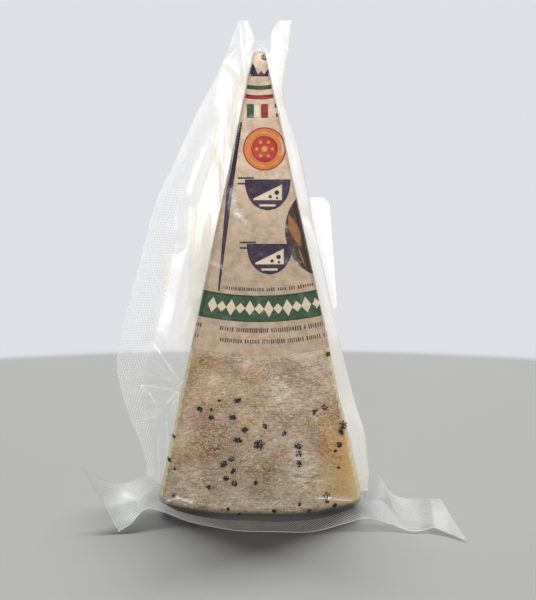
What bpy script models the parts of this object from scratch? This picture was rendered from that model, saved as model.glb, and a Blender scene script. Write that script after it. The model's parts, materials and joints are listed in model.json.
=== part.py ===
"""A wedge of toma cheese, vacuum-packed in a clear pouch and standing on its heel.

The wedge was cut from a low round wheel.  It stands with the wheel's curved
side down and the wheel's flat face to the front, so the cut point is on top.
The clear pouch clings to it all round.  What is left over of the pouch stands
out from the cheese: a wide wing on the left, a narrow fin folded back on the
right, two ears over the tip, and the ribbed bottom seam, which lies on the
counter in front of the heel and ends in a wavy flap on either side.

Units are metres.  +X is the viewer's right, +Y leads away from the viewer and
+Z is up.  The origin is the middle of the flat spot that the heel rests on.
"""

import math

import bmesh
import bpy
from mathutils import Vector

# ---------------------------------------------------------------- wheel and cut
WHEEL_RADIUS = 0.160           # a wheel 32 cm across
WHEEL_HEIGHT = 0.075           # from flat face to flat face, front to back here
CUT_HALF_ANGLE = math.radians(12.3)
CUT_LEAN = math.radians(0.14)  # the cut is this much further round on the right
TIP_HEIGHT = 0.1512            # the point is cut short of the wheel's middle
HEEL_DRAW = 0.0013             # the heel's curve has drawn in this much at the cuts
REST_WIDTH = 0.026             # flat spot pressed into the heel
RIM_RADIUS = 0.0030            # the wheel's rounded rims, front and back
CUT_EDGE_RADIUS = 0.0018       # edges between the cut sides and the flat faces
RIM_FADE = 0.010               # the rims sharpen over this stretch towards the cuts
HEEL_CORNER_RADIUS = 0.0028    # edges between the cut sides and the heel
HEEL_STEPS = 28
SIDE_STEPS = 12
ROUND_STEPS = 4

FRONT_Y = -WHEEL_HEIGHT / 2
REST_ANGLE = math.asin(REST_WIDTH / 2 / WHEEL_RADIUS)
APEX_Z = math.cos(REST_ANGLE) * (WHEEL_RADIUS - HEEL_DRAW * (REST_ANGLE / CUT_HALF_ANGLE) ** 2)

# ---------------------------------------------------------------- film of the pouch
FILM_THICKNESS = 0.0008        # two welded sheets, drawn stout enough for a solid
ROOT_DEPTH = 0.0030            # how far a sheet's root is let into the cheese
STRIP_STEPS = 4                # rows of faces between two neighbouring rails

# Where the side seams leave the cut sides: (height, place from front to back).
WING_ROOT = ((0.0055, -0.027), (0.030, -0.014), (0.060, -0.002), (0.100, 0.007), (0.146, 0.008))
FIN_ROOT = ((0.006, -0.027), (0.030, -0.012), (0.060, 0.000), (0.100, 0.007), (0.146, 0.008))

# The inner edges of the ears carry the two roots on above the tip.
LEFT_EAR_INNER = ((-0.0030, 0.0080, 0.1530), (-0.0020, 0.0080, 0.1573), (-0.0044, 0.0080, 0.1635))
RIGHT_EAR_INNER = ((0.0038, 0.0080, 0.1530), (0.0042, 0.0080, 0.1594), (0.0066, 0.0080, 0.1632))

# Left wing, from the bottom up: the crease inside its seam, and its free edge.
WING_CREASE = (
    (-0.0340, -0.0270, 0.0075), (-0.0375, -0.0120, 0.0274), (-0.0400, -0.0060, 0.0387),
    (-0.0370, -0.0020, 0.0529), (-0.0330, 0.0020, 0.0671), (-0.0289, 0.0060, 0.0821),
    (-0.0278, 0.0090, 0.0997), (-0.0174, 0.0100, 0.1258), (-0.0083, 0.0090, 0.1492),
    (-0.0060, 0.0080, 0.1634))
WING_EDGE = (
    (-0.0376, -0.0275, 0.0098), (-0.0383, -0.0200, 0.0147), (-0.0415, -0.0130, 0.0217),
    (-0.0468, -0.0060, 0.0333), (-0.0496, -0.0010, 0.0447), (-0.0485, 0.0030, 0.0547),
    (-0.0421, 0.0090, 0.0797), (-0.0361, 0.0130, 0.1013), (-0.0280, 0.0130, 0.1188),
    (-0.0219, 0.0115, 0.1320), (-0.0132, 0.0100, 0.1479), (-0.0075, 0.0080, 0.1630))

# Right fin, from the bottom up: the line where it folds back beside the cheese.
FIN_FOLD = (
    (0.0361, -0.0290, 0.0070), (0.0368, -0.0220, 0.0132), (0.0363, -0.0120, 0.0243),
    (0.0325, -0.0040, 0.0357), (0.0272, 0.0030, 0.0589), (0.0203, 0.0080, 0.0875),
    (0.0178, 0.0090, 0.1015), (0.0143, 0.0090, 0.1189), (0.0085, 0.0090, 0.1378),
    (0.0104, 0.0080, 0.1549), (0.0112, 0.0080, 0.1634))
FIN_REACH = 0.016              # from the fold to the free edge
FIN_END_SHARE = 0.35           # of the reach, at the fin's two ends
FIN_LEAN = 0.25                # the turned-back film leans in this much on its way back

# Bottom seam, from the left flap round the front of the heel to the right flap:
# its back edge, the line where the ribbed strip begins, and its free edge.
SEAM_BACK = (
    (-0.0564, -0.0490, 0.0188), (-0.0525, -0.0470, 0.0157), (-0.0474, -0.0440, 0.0128),
    (-0.0425, -0.0360, 0.0114), (-0.0375, -0.0258, 0.0112), (-0.0310, -0.0270, 0.0060),
    (-0.0265, -0.0285, 0.0036), (-0.0150, -0.0330, 0.0026), (0.0000, -0.0340, 0.0020),
    (0.0150, -0.0340, 0.0026),
    (0.0290, -0.0280, 0.0058), (0.0345, -0.0260, 0.0098), (0.0391, -0.0290, 0.0123),
    (0.0438, -0.0350, 0.0073), (0.0494, -0.0380, 0.0066), (0.0583, -0.0440, 0.0080))
SEAM_RIB_LINE = (
    (-0.0484, -0.0553, 0.0071), (-0.0420, -0.0520, 0.0062), (-0.0386, -0.0480, 0.0080),
    (-0.0332, -0.0405, 0.0058), (-0.0290, -0.0412, 0.0040), (-0.0250, -0.0422, 0.0026),
    (-0.0140, -0.0455, 0.0012),
    (0.0000, -0.0475, 0.0009), (0.0150, -0.0470, 0.0010), (0.0270, -0.0430, 0.0028),
    (0.0345, -0.0420, 0.0060), (0.0395, -0.0430, 0.0064), (0.0450, -0.0460, 0.0034),
    (0.0535, -0.0490, 0.0040), (0.0610, -0.0570, 0.0040))
SEAM_FREE_EDGE = (
    (-0.0439, -0.0588, 0.0006), (-0.0400, -0.0565, 0.0028), (-0.0366, -0.0520, 0.0058),
    (-0.0322, -0.0493, 0.0052), (-0.0214, -0.0502, 0.0014), (-0.0086, -0.0568, 0.0006),
    (0.0050, -0.0590, 0.0006), (0.0170, -0.0586, 0.0006), (0.0270, -0.0541, 0.0020),
    (0.0343, -0.0534, 0.0036), (0.0404, -0.0541, 0.0022), (0.0477, -0.0580, 0.0006),
    (0.0554, -0.0582, 0.0010), (0.0638, -0.0690, 0.0006))

# The low film between the ears, drawn up from the ridge of the tip.
TIP_WEB_LOW = ((-0.0018, 0.0020, 0.1465), (0.0004, 0.0016, 0.1465), (0.0026, 0.0020, 0.1465))
TIP_WEB_HIGH = ((-0.0050, 0.0036, 0.1576), (0.0004, 0.0026, 0.1560), (0.0058, 0.0036, 0.1576))

# ---------------------------------------------------------------- paper label, back
LABEL_WIDTH = 0.054
LABEL_HEIGHT = 0.043
LABEL_THICKNESS = 0.0005
LABEL_CORNER_RADIUS = 0.0040
LABEL_CENTRE_Z = 0.078
LABEL_TILT = math.radians(-4.5)
TOUCH_GAP = 0.0003             # between the label and the pouch that it sticks to

# ---------------------------------------------------------------- colours (linear RGB)
RIND_COLOUR = (0.47, 0.34, 0.20, 1.0)
FILM_COLOUR = (0.78, 0.80, 0.80, 1.0)
PAPER_COLOUR = (0.86, 0.86, 0.85, 1.0)


def clear_scene():
    """Take every object out of the open file."""
    for old in list(bpy.data.objects):
        bpy.data.objects.remove(old, do_unlink=True)


def plain_material(name, colour, roughness):
    """A Principled material of one colour."""
    made = bpy.data.materials.new(name)
    made.use_nodes = True
    shader = made.node_tree.nodes["Principled BSDF"]
    shader.inputs["Base Color"].default_value = colour
    shader.inputs["Roughness"].default_value = roughness
    shader.inputs["Metallic"].default_value = 0.0
    made.diffuse_color = colour
    return made


def mesh_object(name, shape, material):
    """Turn a bmesh into an object of the scene."""
    mesh = bpy.data.meshes.new(name)
    bmesh.ops.recalc_face_normals(shape, faces=shape.faces)
    shape.to_mesh(mesh)
    shape.free()
    mesh.materials.append(material)
    made = bpy.data.objects.new(name, mesh)
    bpy.context.scene.collection.objects.link(made)
    return made


def smooth_curve(points, count):
    """Points at even steps along a smooth curve through the given ones."""
    knots = [Vector(p) for p in points]
    knots.insert(0, knots[0] * 2 - knots[1])
    knots.append(knots[-1] * 2 - knots[-2])
    fine = []
    for before, here, there, after in zip(knots, knots[1:], knots[2:], knots[3:]):
        for step in range(24):
            t = step / 24
            fine.append(0.5 * (here * 2 + (there - before) * t
                               + (before * 2 - here * 5 + there * 4 - after) * t ** 2
                               + (here * 3 - before - there * 3 + after) * t ** 3))
    fine.append(knots[-2])
    reached = [0.0]
    for first, second in zip(fine, fine[1:]):
        reached.append(reached[-1] + (second - first).length)
    even = []
    segment = 0
    for index in range(count):
        target = reached[-1] * index / (count - 1)
        while segment < len(fine) - 2 and reached[segment + 1] < target:
            segment += 1
        span = reached[segment + 1] - reached[segment]
        even.append(fine[segment].lerp(fine[segment + 1], (target - reached[segment]) / span))
    return even


def cut_slope(side):
    """How fast a cut side runs outwards on its way down; side is -1 left, +1 right."""
    return math.tan(CUT_HALF_ANGLE + side * CUT_LEAN)


def cut_side_point(side, height, depth, inset=0.0):
    """A point on a cut side of the wedge, or the given distance inside it."""
    return Vector((side * ((APEX_Z - height) * cut_slope(side) - inset), depth, height))


def about_apex(radius, angle):
    """A point of the front view at a distance and an angle from the wheel's middle."""
    return Vector((radius * math.sin(angle + CUT_LEAN), 0.0, APEX_Z - radius * math.cos(angle + CUT_LEAN)))


def rounded_run(centre, radius, start, end, steps, edge_radius):
    """Points of an arc of the outline, each with its outward direction and edge radius."""
    run = []
    for step in range(steps + 1):
        angle = start + (end - start) * step / steps + CUT_LEAN
        outward = Vector((math.sin(angle), 0.0, -math.cos(angle)))
        run.append((centre + outward * radius, outward, edge_radius))
    return run


def wedge_outline():
    """The wedge seen from the front, from the right heel corner round by the left to the tip."""
    apex = Vector((0.0, 0.0, APEX_Z))
    to_corner = WHEEL_RADIUS - HEEL_DRAW - HEEL_CORNER_RADIUS
    corner_angle = CUT_HALF_ANGLE - math.asin(HEEL_CORNER_RADIUS / to_corner)
    tip_radius = (APEX_Z - TIP_HEIGHT) / (1 / math.sin(CUT_HALF_ANGLE) - 1)
    tip_centre = about_apex(tip_radius / math.sin(CUT_HALF_ANGLE), 0.0)
    side_out = math.pi / 2 + CUT_HALF_ANGLE

    outline = []
    for place, outward, _ in rounded_run(apex, WHEEL_RADIUS, corner_angle, -corner_angle,
                                         HEEL_STEPS, RIM_RADIUS):
        angle = abs(math.atan2(outward.x, -outward.z))
        place -= outward * HEEL_DRAW * min(angle / corner_angle, 1.0) ** 2
        share = min(max((corner_angle - angle) * WHEEL_RADIUS / RIM_FADE, 0.0), 1.0)
        share = share * share * (3 - 2 * share)
        edge_radius = CUT_EDGE_RADIUS + (RIM_RADIUS - CUT_EDGE_RADIUS) * share
        outline.append((Vector((place.x, 0.0, max(place.z, 0.0))), outward, edge_radius))
    left_corner = rounded_run(about_apex(to_corner, -corner_angle), HEEL_CORNER_RADIUS,
                              -corner_angle, -side_out, ROUND_STEPS, CUT_EDGE_RADIUS)
    tip = rounded_run(tip_centre, tip_radius, -side_out, side_out - 2 * math.pi,
                      2 * ROUND_STEPS, CUT_EDGE_RADIUS)
    right_corner = rounded_run(about_apex(to_corner, corner_angle), HEEL_CORNER_RADIUS,
                               side_out, corner_angle, ROUND_STEPS, CUT_EDGE_RADIUS)
    outline += left_corner[1:]
    outline += side_run(left_corner[-1], tip[0])
    outline += tip
    outline += side_run(tip[-1], right_corner[0])
    outline += right_corner[:-1]
    return outline


def side_run(start, end):
    """The points of a straight cut side between two rounded corners."""
    return [(start[0].lerp(end[0], step / SIDE_STEPS), start[1], start[2])
            for step in range(1, SIDE_STEPS)]


def build_wedge(material):
    """The wedge of cheese, with the pouch drawn tight over it."""
    outline = wedge_outline()
    rings = []
    for flat_y, inwards in ((FRONT_Y, 1), (-FRONT_Y, -1)):
        turns = range(ROUND_STEPS + 1)
        for turn in (turns if inwards == 1 else reversed(turns)):
            angle = math.pi / 2 * turn / ROUND_STEPS
            ring = []
            for place, outward, edge_radius in outline:
                point = place - outward * edge_radius * (1 - math.sin(angle))
                point.y = flat_y + inwards * edge_radius * (1 - math.cos(angle))
                ring.append(point)
            rings.append(ring)
    shape = bmesh.new()
    loops = [[shape.verts.new(point) for point in ring] for ring in rings]
    count = len(outline)
    for near, far in zip(loops, loops[1:]):
        for index in range(count):
            after = (index + 1) % count
            shape.faces.new((near[index], near[after], far[after], far[index]))
    shape.faces.new(loops[0])
    shape.faces.new(reversed(loops[-1]))
    return mesh_object("vacuum_pack", shape, material)


def film_sheet(name, rails, stations, material):
    """A sheet of film spanned between neighbouring rails, with a thickness."""
    lines = [smooth_curve(rail, stations) for rail in rails]
    rows = []
    for near, far in zip(lines, lines[1:]):
        steps = range(0 if not rows else 1, STRIP_STEPS + 1)
        for step in steps:
            rows.append([a.lerp(b, step / STRIP_STEPS) for a, b in zip(near, far)])
    shape = bmesh.new()
    grid = [[shape.verts.new(point) for point in row] for row in rows]
    for near, far in zip(grid, grid[1:]):
        for index in range(stations - 1):
            shape.faces.new((near[index], near[index + 1], far[index + 1], far[index]))
    sheet = mesh_object(name, shape, material)
    wall = sheet.modifiers.new("film", "SOLIDIFY")
    wall.thickness = FILM_THICKNESS
    wall.offset = 0.0
    wall.use_even_offset = True
    sheet.hide_render = True
    sheet.display_type = "WIRE"
    return sheet


def wing_rails():
    """Root, crease and free edge of the left wing with its ear."""
    root = [cut_side_point(-1, height, depth, ROOT_DEPTH) for height, depth in WING_ROOT]
    root[-1] = cut_side_point(-1, WING_ROOT[-1][0], WING_ROOT[-1][1], ROOT_DEPTH / 2)
    return [root + [Vector(p) for p in LEFT_EAR_INNER], WING_CREASE, WING_EDGE]


def fin_rails():
    """Root, fold and turned-back free edge of the right fin with its ear."""
    root = [cut_side_point(1, height, depth, ROOT_DEPTH) for height, depth in FIN_ROOT]
    root[-1] = cut_side_point(1, FIN_ROOT[-1][0], FIN_ROOT[-1][1], ROOT_DEPTH / 2)
    fold = [Vector(p) for p in FIN_FOLD]
    turned = []
    for index, point in enumerate(fold):
        along = fold[min(index + 1, len(fold) - 1)] - fold[max(index - 1, 0)]
        back = Vector((-FIN_LEAN * along.length, along.z, -along.y)).normalized()
        share = FIN_END_SHARE + (1 - FIN_END_SHARE) * math.sin(math.pi * index / (len(fold) - 1))
        turned.append(point + back * FIN_REACH * share)
    return [root + [Vector(p) for p in RIGHT_EAR_INNER], FIN_FOLD, turned]


def build_pack(rind, film):
    """The shut pack: the wedge in its film, and the pouch's free edges fused on."""
    pack = build_wedge(rind)
    sheets = (("left wing", wing_rails(), 36), ("right fin", fin_rails(), 32),
              ("bottom seam", [SEAM_BACK, SEAM_RIB_LINE, SEAM_FREE_EDGE], 48),
              ("tip web", [TIP_WEB_LOW, TIP_WEB_HIGH], 7))
    for name, rails, stations in sheets:
        fused = pack.modifiers.new(name, "BOOLEAN")
        fused.operation = "UNION"
        fused.solver = "EXACT"
        fused.object = film_sheet(name.replace(" ", "_"), rails, stations, film)
    return pack


def build_back_label(paper):
    """The white paper label stuck on the back of the pouch."""
    shape = bmesh.new()
    half_width, half_height = LABEL_WIDTH / 2, LABEL_HEIGHT / 2
    corners = [shape.verts.new((x * half_width, 0.0, z * half_height))
               for x, z in ((-1, -1), (1, -1), (1, 1), (-1, 1))]
    face = shape.faces.new(corners)
    grown = bmesh.ops.extrude_face_region(shape, geom=[face])
    moved = [item for item in grown["geom"] if isinstance(item, bmesh.types.BMVert)]
    bmesh.ops.translate(shape, verts=moved, vec=(0.0, LABEL_THICKNESS, 0.0))
    upright = [edge for edge in shape.edges if abs(edge.verts[0].co.y - edge.verts[1].co.y) > 1e-6]
    bmesh.ops.bevel(shape, geom=upright, offset=LABEL_CORNER_RADIUS, offset_type="OFFSET",
                    affect="EDGES", segments=6, profile=0.5, clamp_overlap=True)
    label = mesh_object("back_label", shape, paper)
    label.location = (0.0, -FRONT_Y + TOUCH_GAP, LABEL_CENTRE_Z)
    label.rotation_euler = (0.0, LABEL_TILT, 0.0)
    return label


def main():
    """Build the packed wedge of cheese."""
    clear_scene()
    rind = plain_material("rind under clear film", RIND_COLOUR, 0.45)
    film = plain_material("milky pouch film", FILM_COLOUR, 0.30)
    paper = plain_material("white label paper", PAPER_COLOUR, 0.55)
    build_pack(rind, film)
    build_back_label(paper)


main()
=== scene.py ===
"""The looks of a wedge of toma cheese in its clear vacuum pouch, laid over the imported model.

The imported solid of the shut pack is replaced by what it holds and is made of: the cheese with
its rind, mould specks and cut sides, the round paper label's sector on its face, the film drawn
tight round them, and the film's free edges: the wing on the left, the fin on the right, the web
over the tip and the ribbed bottom seam.  Units are metres.  +X is the viewer's right, +Y leads
away from the viewer, +Z is up, and the origin is the flat spot that the heel rests on.
"""

import json
import logging
import math
from dataclasses import dataclass, field
from enum import Enum
from functools import partial
from typing import Any, Callable, Sequence

import bpy
import numpy as np
from mathutils import Matrix, Vector, noise

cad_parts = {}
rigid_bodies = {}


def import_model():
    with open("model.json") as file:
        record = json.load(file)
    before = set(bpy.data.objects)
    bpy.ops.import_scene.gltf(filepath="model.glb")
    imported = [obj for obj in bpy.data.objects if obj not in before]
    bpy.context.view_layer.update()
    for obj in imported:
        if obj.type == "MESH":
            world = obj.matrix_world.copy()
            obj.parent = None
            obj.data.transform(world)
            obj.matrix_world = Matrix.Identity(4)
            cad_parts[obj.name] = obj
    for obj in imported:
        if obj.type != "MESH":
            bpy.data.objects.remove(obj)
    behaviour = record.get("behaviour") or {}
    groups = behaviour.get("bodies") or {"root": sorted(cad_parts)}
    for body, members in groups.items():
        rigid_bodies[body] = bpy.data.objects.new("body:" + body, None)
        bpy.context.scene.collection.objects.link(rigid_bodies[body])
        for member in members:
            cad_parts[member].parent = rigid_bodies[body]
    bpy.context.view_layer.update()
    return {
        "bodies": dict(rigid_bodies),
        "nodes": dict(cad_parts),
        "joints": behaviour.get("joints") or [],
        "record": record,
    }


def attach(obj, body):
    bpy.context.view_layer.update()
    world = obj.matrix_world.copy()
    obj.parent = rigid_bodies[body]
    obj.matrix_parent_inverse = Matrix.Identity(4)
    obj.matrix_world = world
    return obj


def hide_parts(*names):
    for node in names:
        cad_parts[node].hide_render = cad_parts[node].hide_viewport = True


LOG = logging.getLogger("toma_wedge")
MM = 0.001
FRONT = (0.0, -1.0, 0.0)
Point = tuple[float, float, float]
Place = tuple[float, float]
Maker = Callable[..., bpy.types.NodeSocket]


# ------------------------------------------------------------------------------ helpers
def linear(code: str) -> tuple[float, float, float, float]:
    """Turn an sRGB hex colour into linear RGBA.

    Args:
        code: A colour such as "#C4AB8D".

    Returns:
        The linear red, green and blue, with an alpha of 1.
    """
    shares = [int(code[at:at + 2], 16) / 255 for at in (1, 3, 5)]
    red, green, blue = (s / 12.92 if s <= 0.04045 else ((s + 0.055) / 1.055) ** 2.4 for s in shares)
    return red, green, blue, 1.0


def plug(node: bpy.types.Node, inputs: dict[int | str, Any]) -> None:
    """Set a node's inputs, or link them.

    Args:
        node: The node.
        inputs: For an input's index or name, a constant or a socket to link from.
    """
    for key, value in inputs.items():
        if isinstance(value, bpy.types.NodeSocket):
            node.id_data.links.new(value, node.inputs[key])
        else:
            node.inputs[key].default_value = value


def add_node(tree: bpy.types.NodeTree, kind: str, inputs: dict[int | str, Any] | None = None,
             out: int | str = 0, **settings: Any) -> bpy.types.NodeSocket | None:
    """Add a node with its settings, constants and links.

    Args:
        tree: The shader or geometry tree.
        kind: The node's type name.
        inputs: For an input's index or name, a constant or a socket to link from.
        out: The output to give back, by its index or name.
        settings: Attributes of the node.

    Returns:
        One of the new node's outputs, or None where it has none.
    """
    node = tree.nodes.new(kind)
    for name, value in settings.items():
        setattr(node, name, value)
    plug(node, inputs or {})
    return node.outputs[out] if len(node.outputs) else None


def new_finish(name: str) -> tuple[bpy.types.Material, Maker, bpy.types.NodeSocket]:
    """Start a material.

    Args:
        name: The material's name.

    Returns:
        The material, add_node for its tree, and the place on the object in millimetres.
    """
    made = bpy.data.materials.new(name)
    made.use_nodes = True
    node = partial(add_node, made.node_tree)
    place = node("ShaderNodeTexCoord", out="Object")
    return made, node, node("ShaderNodeVectorMath", {0: place, "Scale": 1 / MM}, operation="SCALE")


def noise_at(point: Sequence[float], reach: float, shift: float = 0.0) -> float:
    """Smooth noise between about -1 and 1 whose lumps are as wide as the reach, in metres."""
    return noise.noise(Vector(point) / reach + Vector((shift, shift * 0.7, -shift)))


def smooth_step(low: float, high: float, value: Any) -> Any:
    """Rise smoothly from 0 at low to 1 at high, for a number or an array."""
    share = np.clip((value - low) / (high - low), 0.0, 1.0)
    return share * share * (3 - 2 * share)


def smooth_curve(points: Sequence[Point], count: int) -> np.ndarray:
    """Read points at even steps along a smooth curve through the given ones.

    Args:
        points: The places that the curve passes through.
        count: How many points to read.

    Returns:
        An array of count rows of x, y and z.
    """
    knots = np.array(points, float)
    knots = np.vstack([knots[:1] * 2 - knots[1:2], knots, knots[-1:] * 2 - knots[-2:-1]])
    share = np.linspace(0.0, 1.0, 24, endpoint=False)[:, None]
    fine = []
    for before, here, there, after in zip(knots, knots[1:], knots[2:], knots[3:]):
        fine.append(0.5 * (here * 2 + (there - before) * share
                           + (before * 2 - here * 5 + there * 4 - after) * share ** 2
                           + (here * 3 - before - there * 3 + after) * share ** 3))
    path = np.vstack(fine + [knots[-2:-1]])
    reached = np.concatenate([[0.0], np.cumsum(np.linalg.norm(np.diff(path, axis=0), axis=1))])
    wanted = np.linspace(0.0, reached[-1], count)
    return np.column_stack([np.interp(wanted, reached, path[:, axis]) for axis in range(3)])


def to_segment(places: np.ndarray, start: Place, end: Place) -> np.ndarray:
    """Give the distance of each place from a straight stretch, in the front view.

    Args:
        places: The places.
        start: One end of the stretch.
        end: Its other end.

    Returns:
        One distance for each place.
    """
    first, along = np.array(start), np.array(end) - np.array(start)
    share = np.clip(((places - first) @ along) / max(float(along @ along), 1e-12), 0.0, 1.0)
    return np.linalg.norm(places - first - share[..., None] * along, axis=-1)


def make_piece(name: str, points: Any, faces: Any, materials: Sequence[bpy.types.Material],
               values: dict[str, np.ndarray] | None = None,
               smooth: bool = True) -> bpy.types.Object:
    """Make a mesh object at the origin, with its place in its mesh.

    Args:
        name: The piece's name.
        points: Its vertices.
        faces: Its faces, as rows of vertex numbers.
        materials: Its materials.
        values: Per-vertex numbers or vectors, stored as attributes.
        smooth: Whether it is shaded smooth.

    Returns:
        The object.
    """
    mesh = bpy.data.meshes.new(name)
    mesh.from_pydata([tuple(p) for p in points], [], [tuple(int(i) for i in f) for f in faces])
    for material in materials:
        mesh.materials.append(material)
    for label, numbers in (values or {}).items():
        numbers = np.asarray(numbers, np.float32)
        kind, key = ("FLOAT_VECTOR", "vector") if numbers.ndim == 2 else ("FLOAT", "value")
        mesh.attributes.new(label, kind, "POINT").data.foreach_set(key, numbers.ravel())
    mesh.polygons.foreach_set("use_smooth", np.full(len(mesh.polygons), smooth))
    mesh.update()
    made = bpy.data.objects.new(name, mesh)
    bpy.context.scene.collection.objects.link(made)
    return made


def evaluated_mesh(shown: bpy.types.Object) -> bpy.types.Mesh:
    """Give the plain mesh that an object's modifiers make.

    Args:
        shown: The object.

    Returns:
        The mesh.
    """
    graph = bpy.context.evaluated_depsgraph_get()
    graph.update()
    return bpy.data.meshes.new_from_object(shown.evaluated_get(graph), depsgraph=graph)


def bake_modifiers(shown: bpy.types.Object) -> bpy.types.Object:
    """Replace an object's mesh by what its modifiers make of it, and take them off.

    Args:
        shown: The object.

    Returns:
        The same object.
    """
    made = evaluated_mesh(shown)
    shown.modifiers.clear()
    shown.data = made
    return shown


def remeshed(points: Any, faces: Any, voxel: float) -> tuple[np.ndarray, np.ndarray, np.ndarray]:
    """Turn a coarse closed shape into an even net of small quads.

    Args:
        points: The shape's vertices.
        faces: The shape's faces.
        voxel: The width of a quad.

    Returns:
        The vertices, the quads and the vertex normals of the net.
    """
    coarse = make_piece("coarse_shape", points, faces, [])
    net = coarse.modifiers.new("even net", "REMESH")
    net.mode = "VOXEL"
    net.voxel_size = voxel
    mesh = evaluated_mesh(coarse)
    bpy.data.objects.remove(coarse)
    spots, normals = np.zeros((2, len(mesh.vertices) * 3))
    mesh.vertices.foreach_get("co", spots)
    mesh.vertex_normals.foreach_get("vector", normals)
    quads = np.array([tuple(face.vertices) for face in mesh.polygons])
    bpy.data.meshes.remove(mesh)
    return spots.reshape(-1, 3), quads, normals.reshape(-1, 3)


def grid_faces(rows: int, columns: int, start: int, flip: bool) -> np.ndarray:
    """Number the quads of a grid of points that is stored row by row.

    Args:
        rows: How many rows the grid has.
        columns: How many points a row has.
        start: The number of the first point.
        flip: Whether the quads are numbered the other way round.

    Returns:
        One row of four numbers for each quad.
    """
    first = (np.arange(rows - 1)[:, None] * columns + np.arange(columns - 1)).ravel() + start
    quads = np.column_stack([first, first + 1, first + columns + 1, first + columns])
    return quads[:, ::-1] if flip else quads


def grid_normals(grid: np.ndarray) -> np.ndarray:
    """Give the unit normal at each point of a grid of places.

    Args:
        grid: Rows of places.

    Returns:
        Rows of unit normals.
    """
    across = np.gradient(grid, axis=0)
    along = np.gradient(grid, axis=1)
    normal = np.cross(along, across)
    return normal / np.maximum(np.linalg.norm(normal, axis=-1, keepdims=True), 1e-12)


def shell_of(grid: np.ndarray, thickness: float, facing: Point) -> tuple[np.ndarray, np.ndarray]:
    """Give a grid of places a thickness and close it all round.

    Args:
        grid: Rows of places on the sheet's middle.
        thickness: The wall's thickness.
        facing: The way that the first side looks.

    Returns:
        The vertices, first side first, and the quads of the closed shell.
    """
    rows, columns = grid.shape[:2]
    normal = grid_normals(grid)
    flip = float((normal * np.array(facing)).sum()) < 0.0
    if flip:
        normal = -normal
    points = np.vstack([(grid + normal * thickness / 2).reshape(-1, 3),
                        (grid - normal * thickness / 2).reshape(-1, 3)])
    count = rows * columns
    index = np.arange(count).reshape(rows, columns)
    rim = np.concatenate([index[0, :], index[1:, -1], index[-1, -2::-1], index[-2:0:-1, 0]])
    after = np.roll(rim, -1)
    walls = np.column_stack([rim, rim + count, after + count, after])[:, ::-1 if flip else 1]
    # grid_normals looks the same way as a quad numbered along the columns first, turned over.
    sides = [grid_faces(rows, columns, start, flip != (start == 0)) for start in (0, count)]
    return points, np.vstack([*sides, walls])


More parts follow.
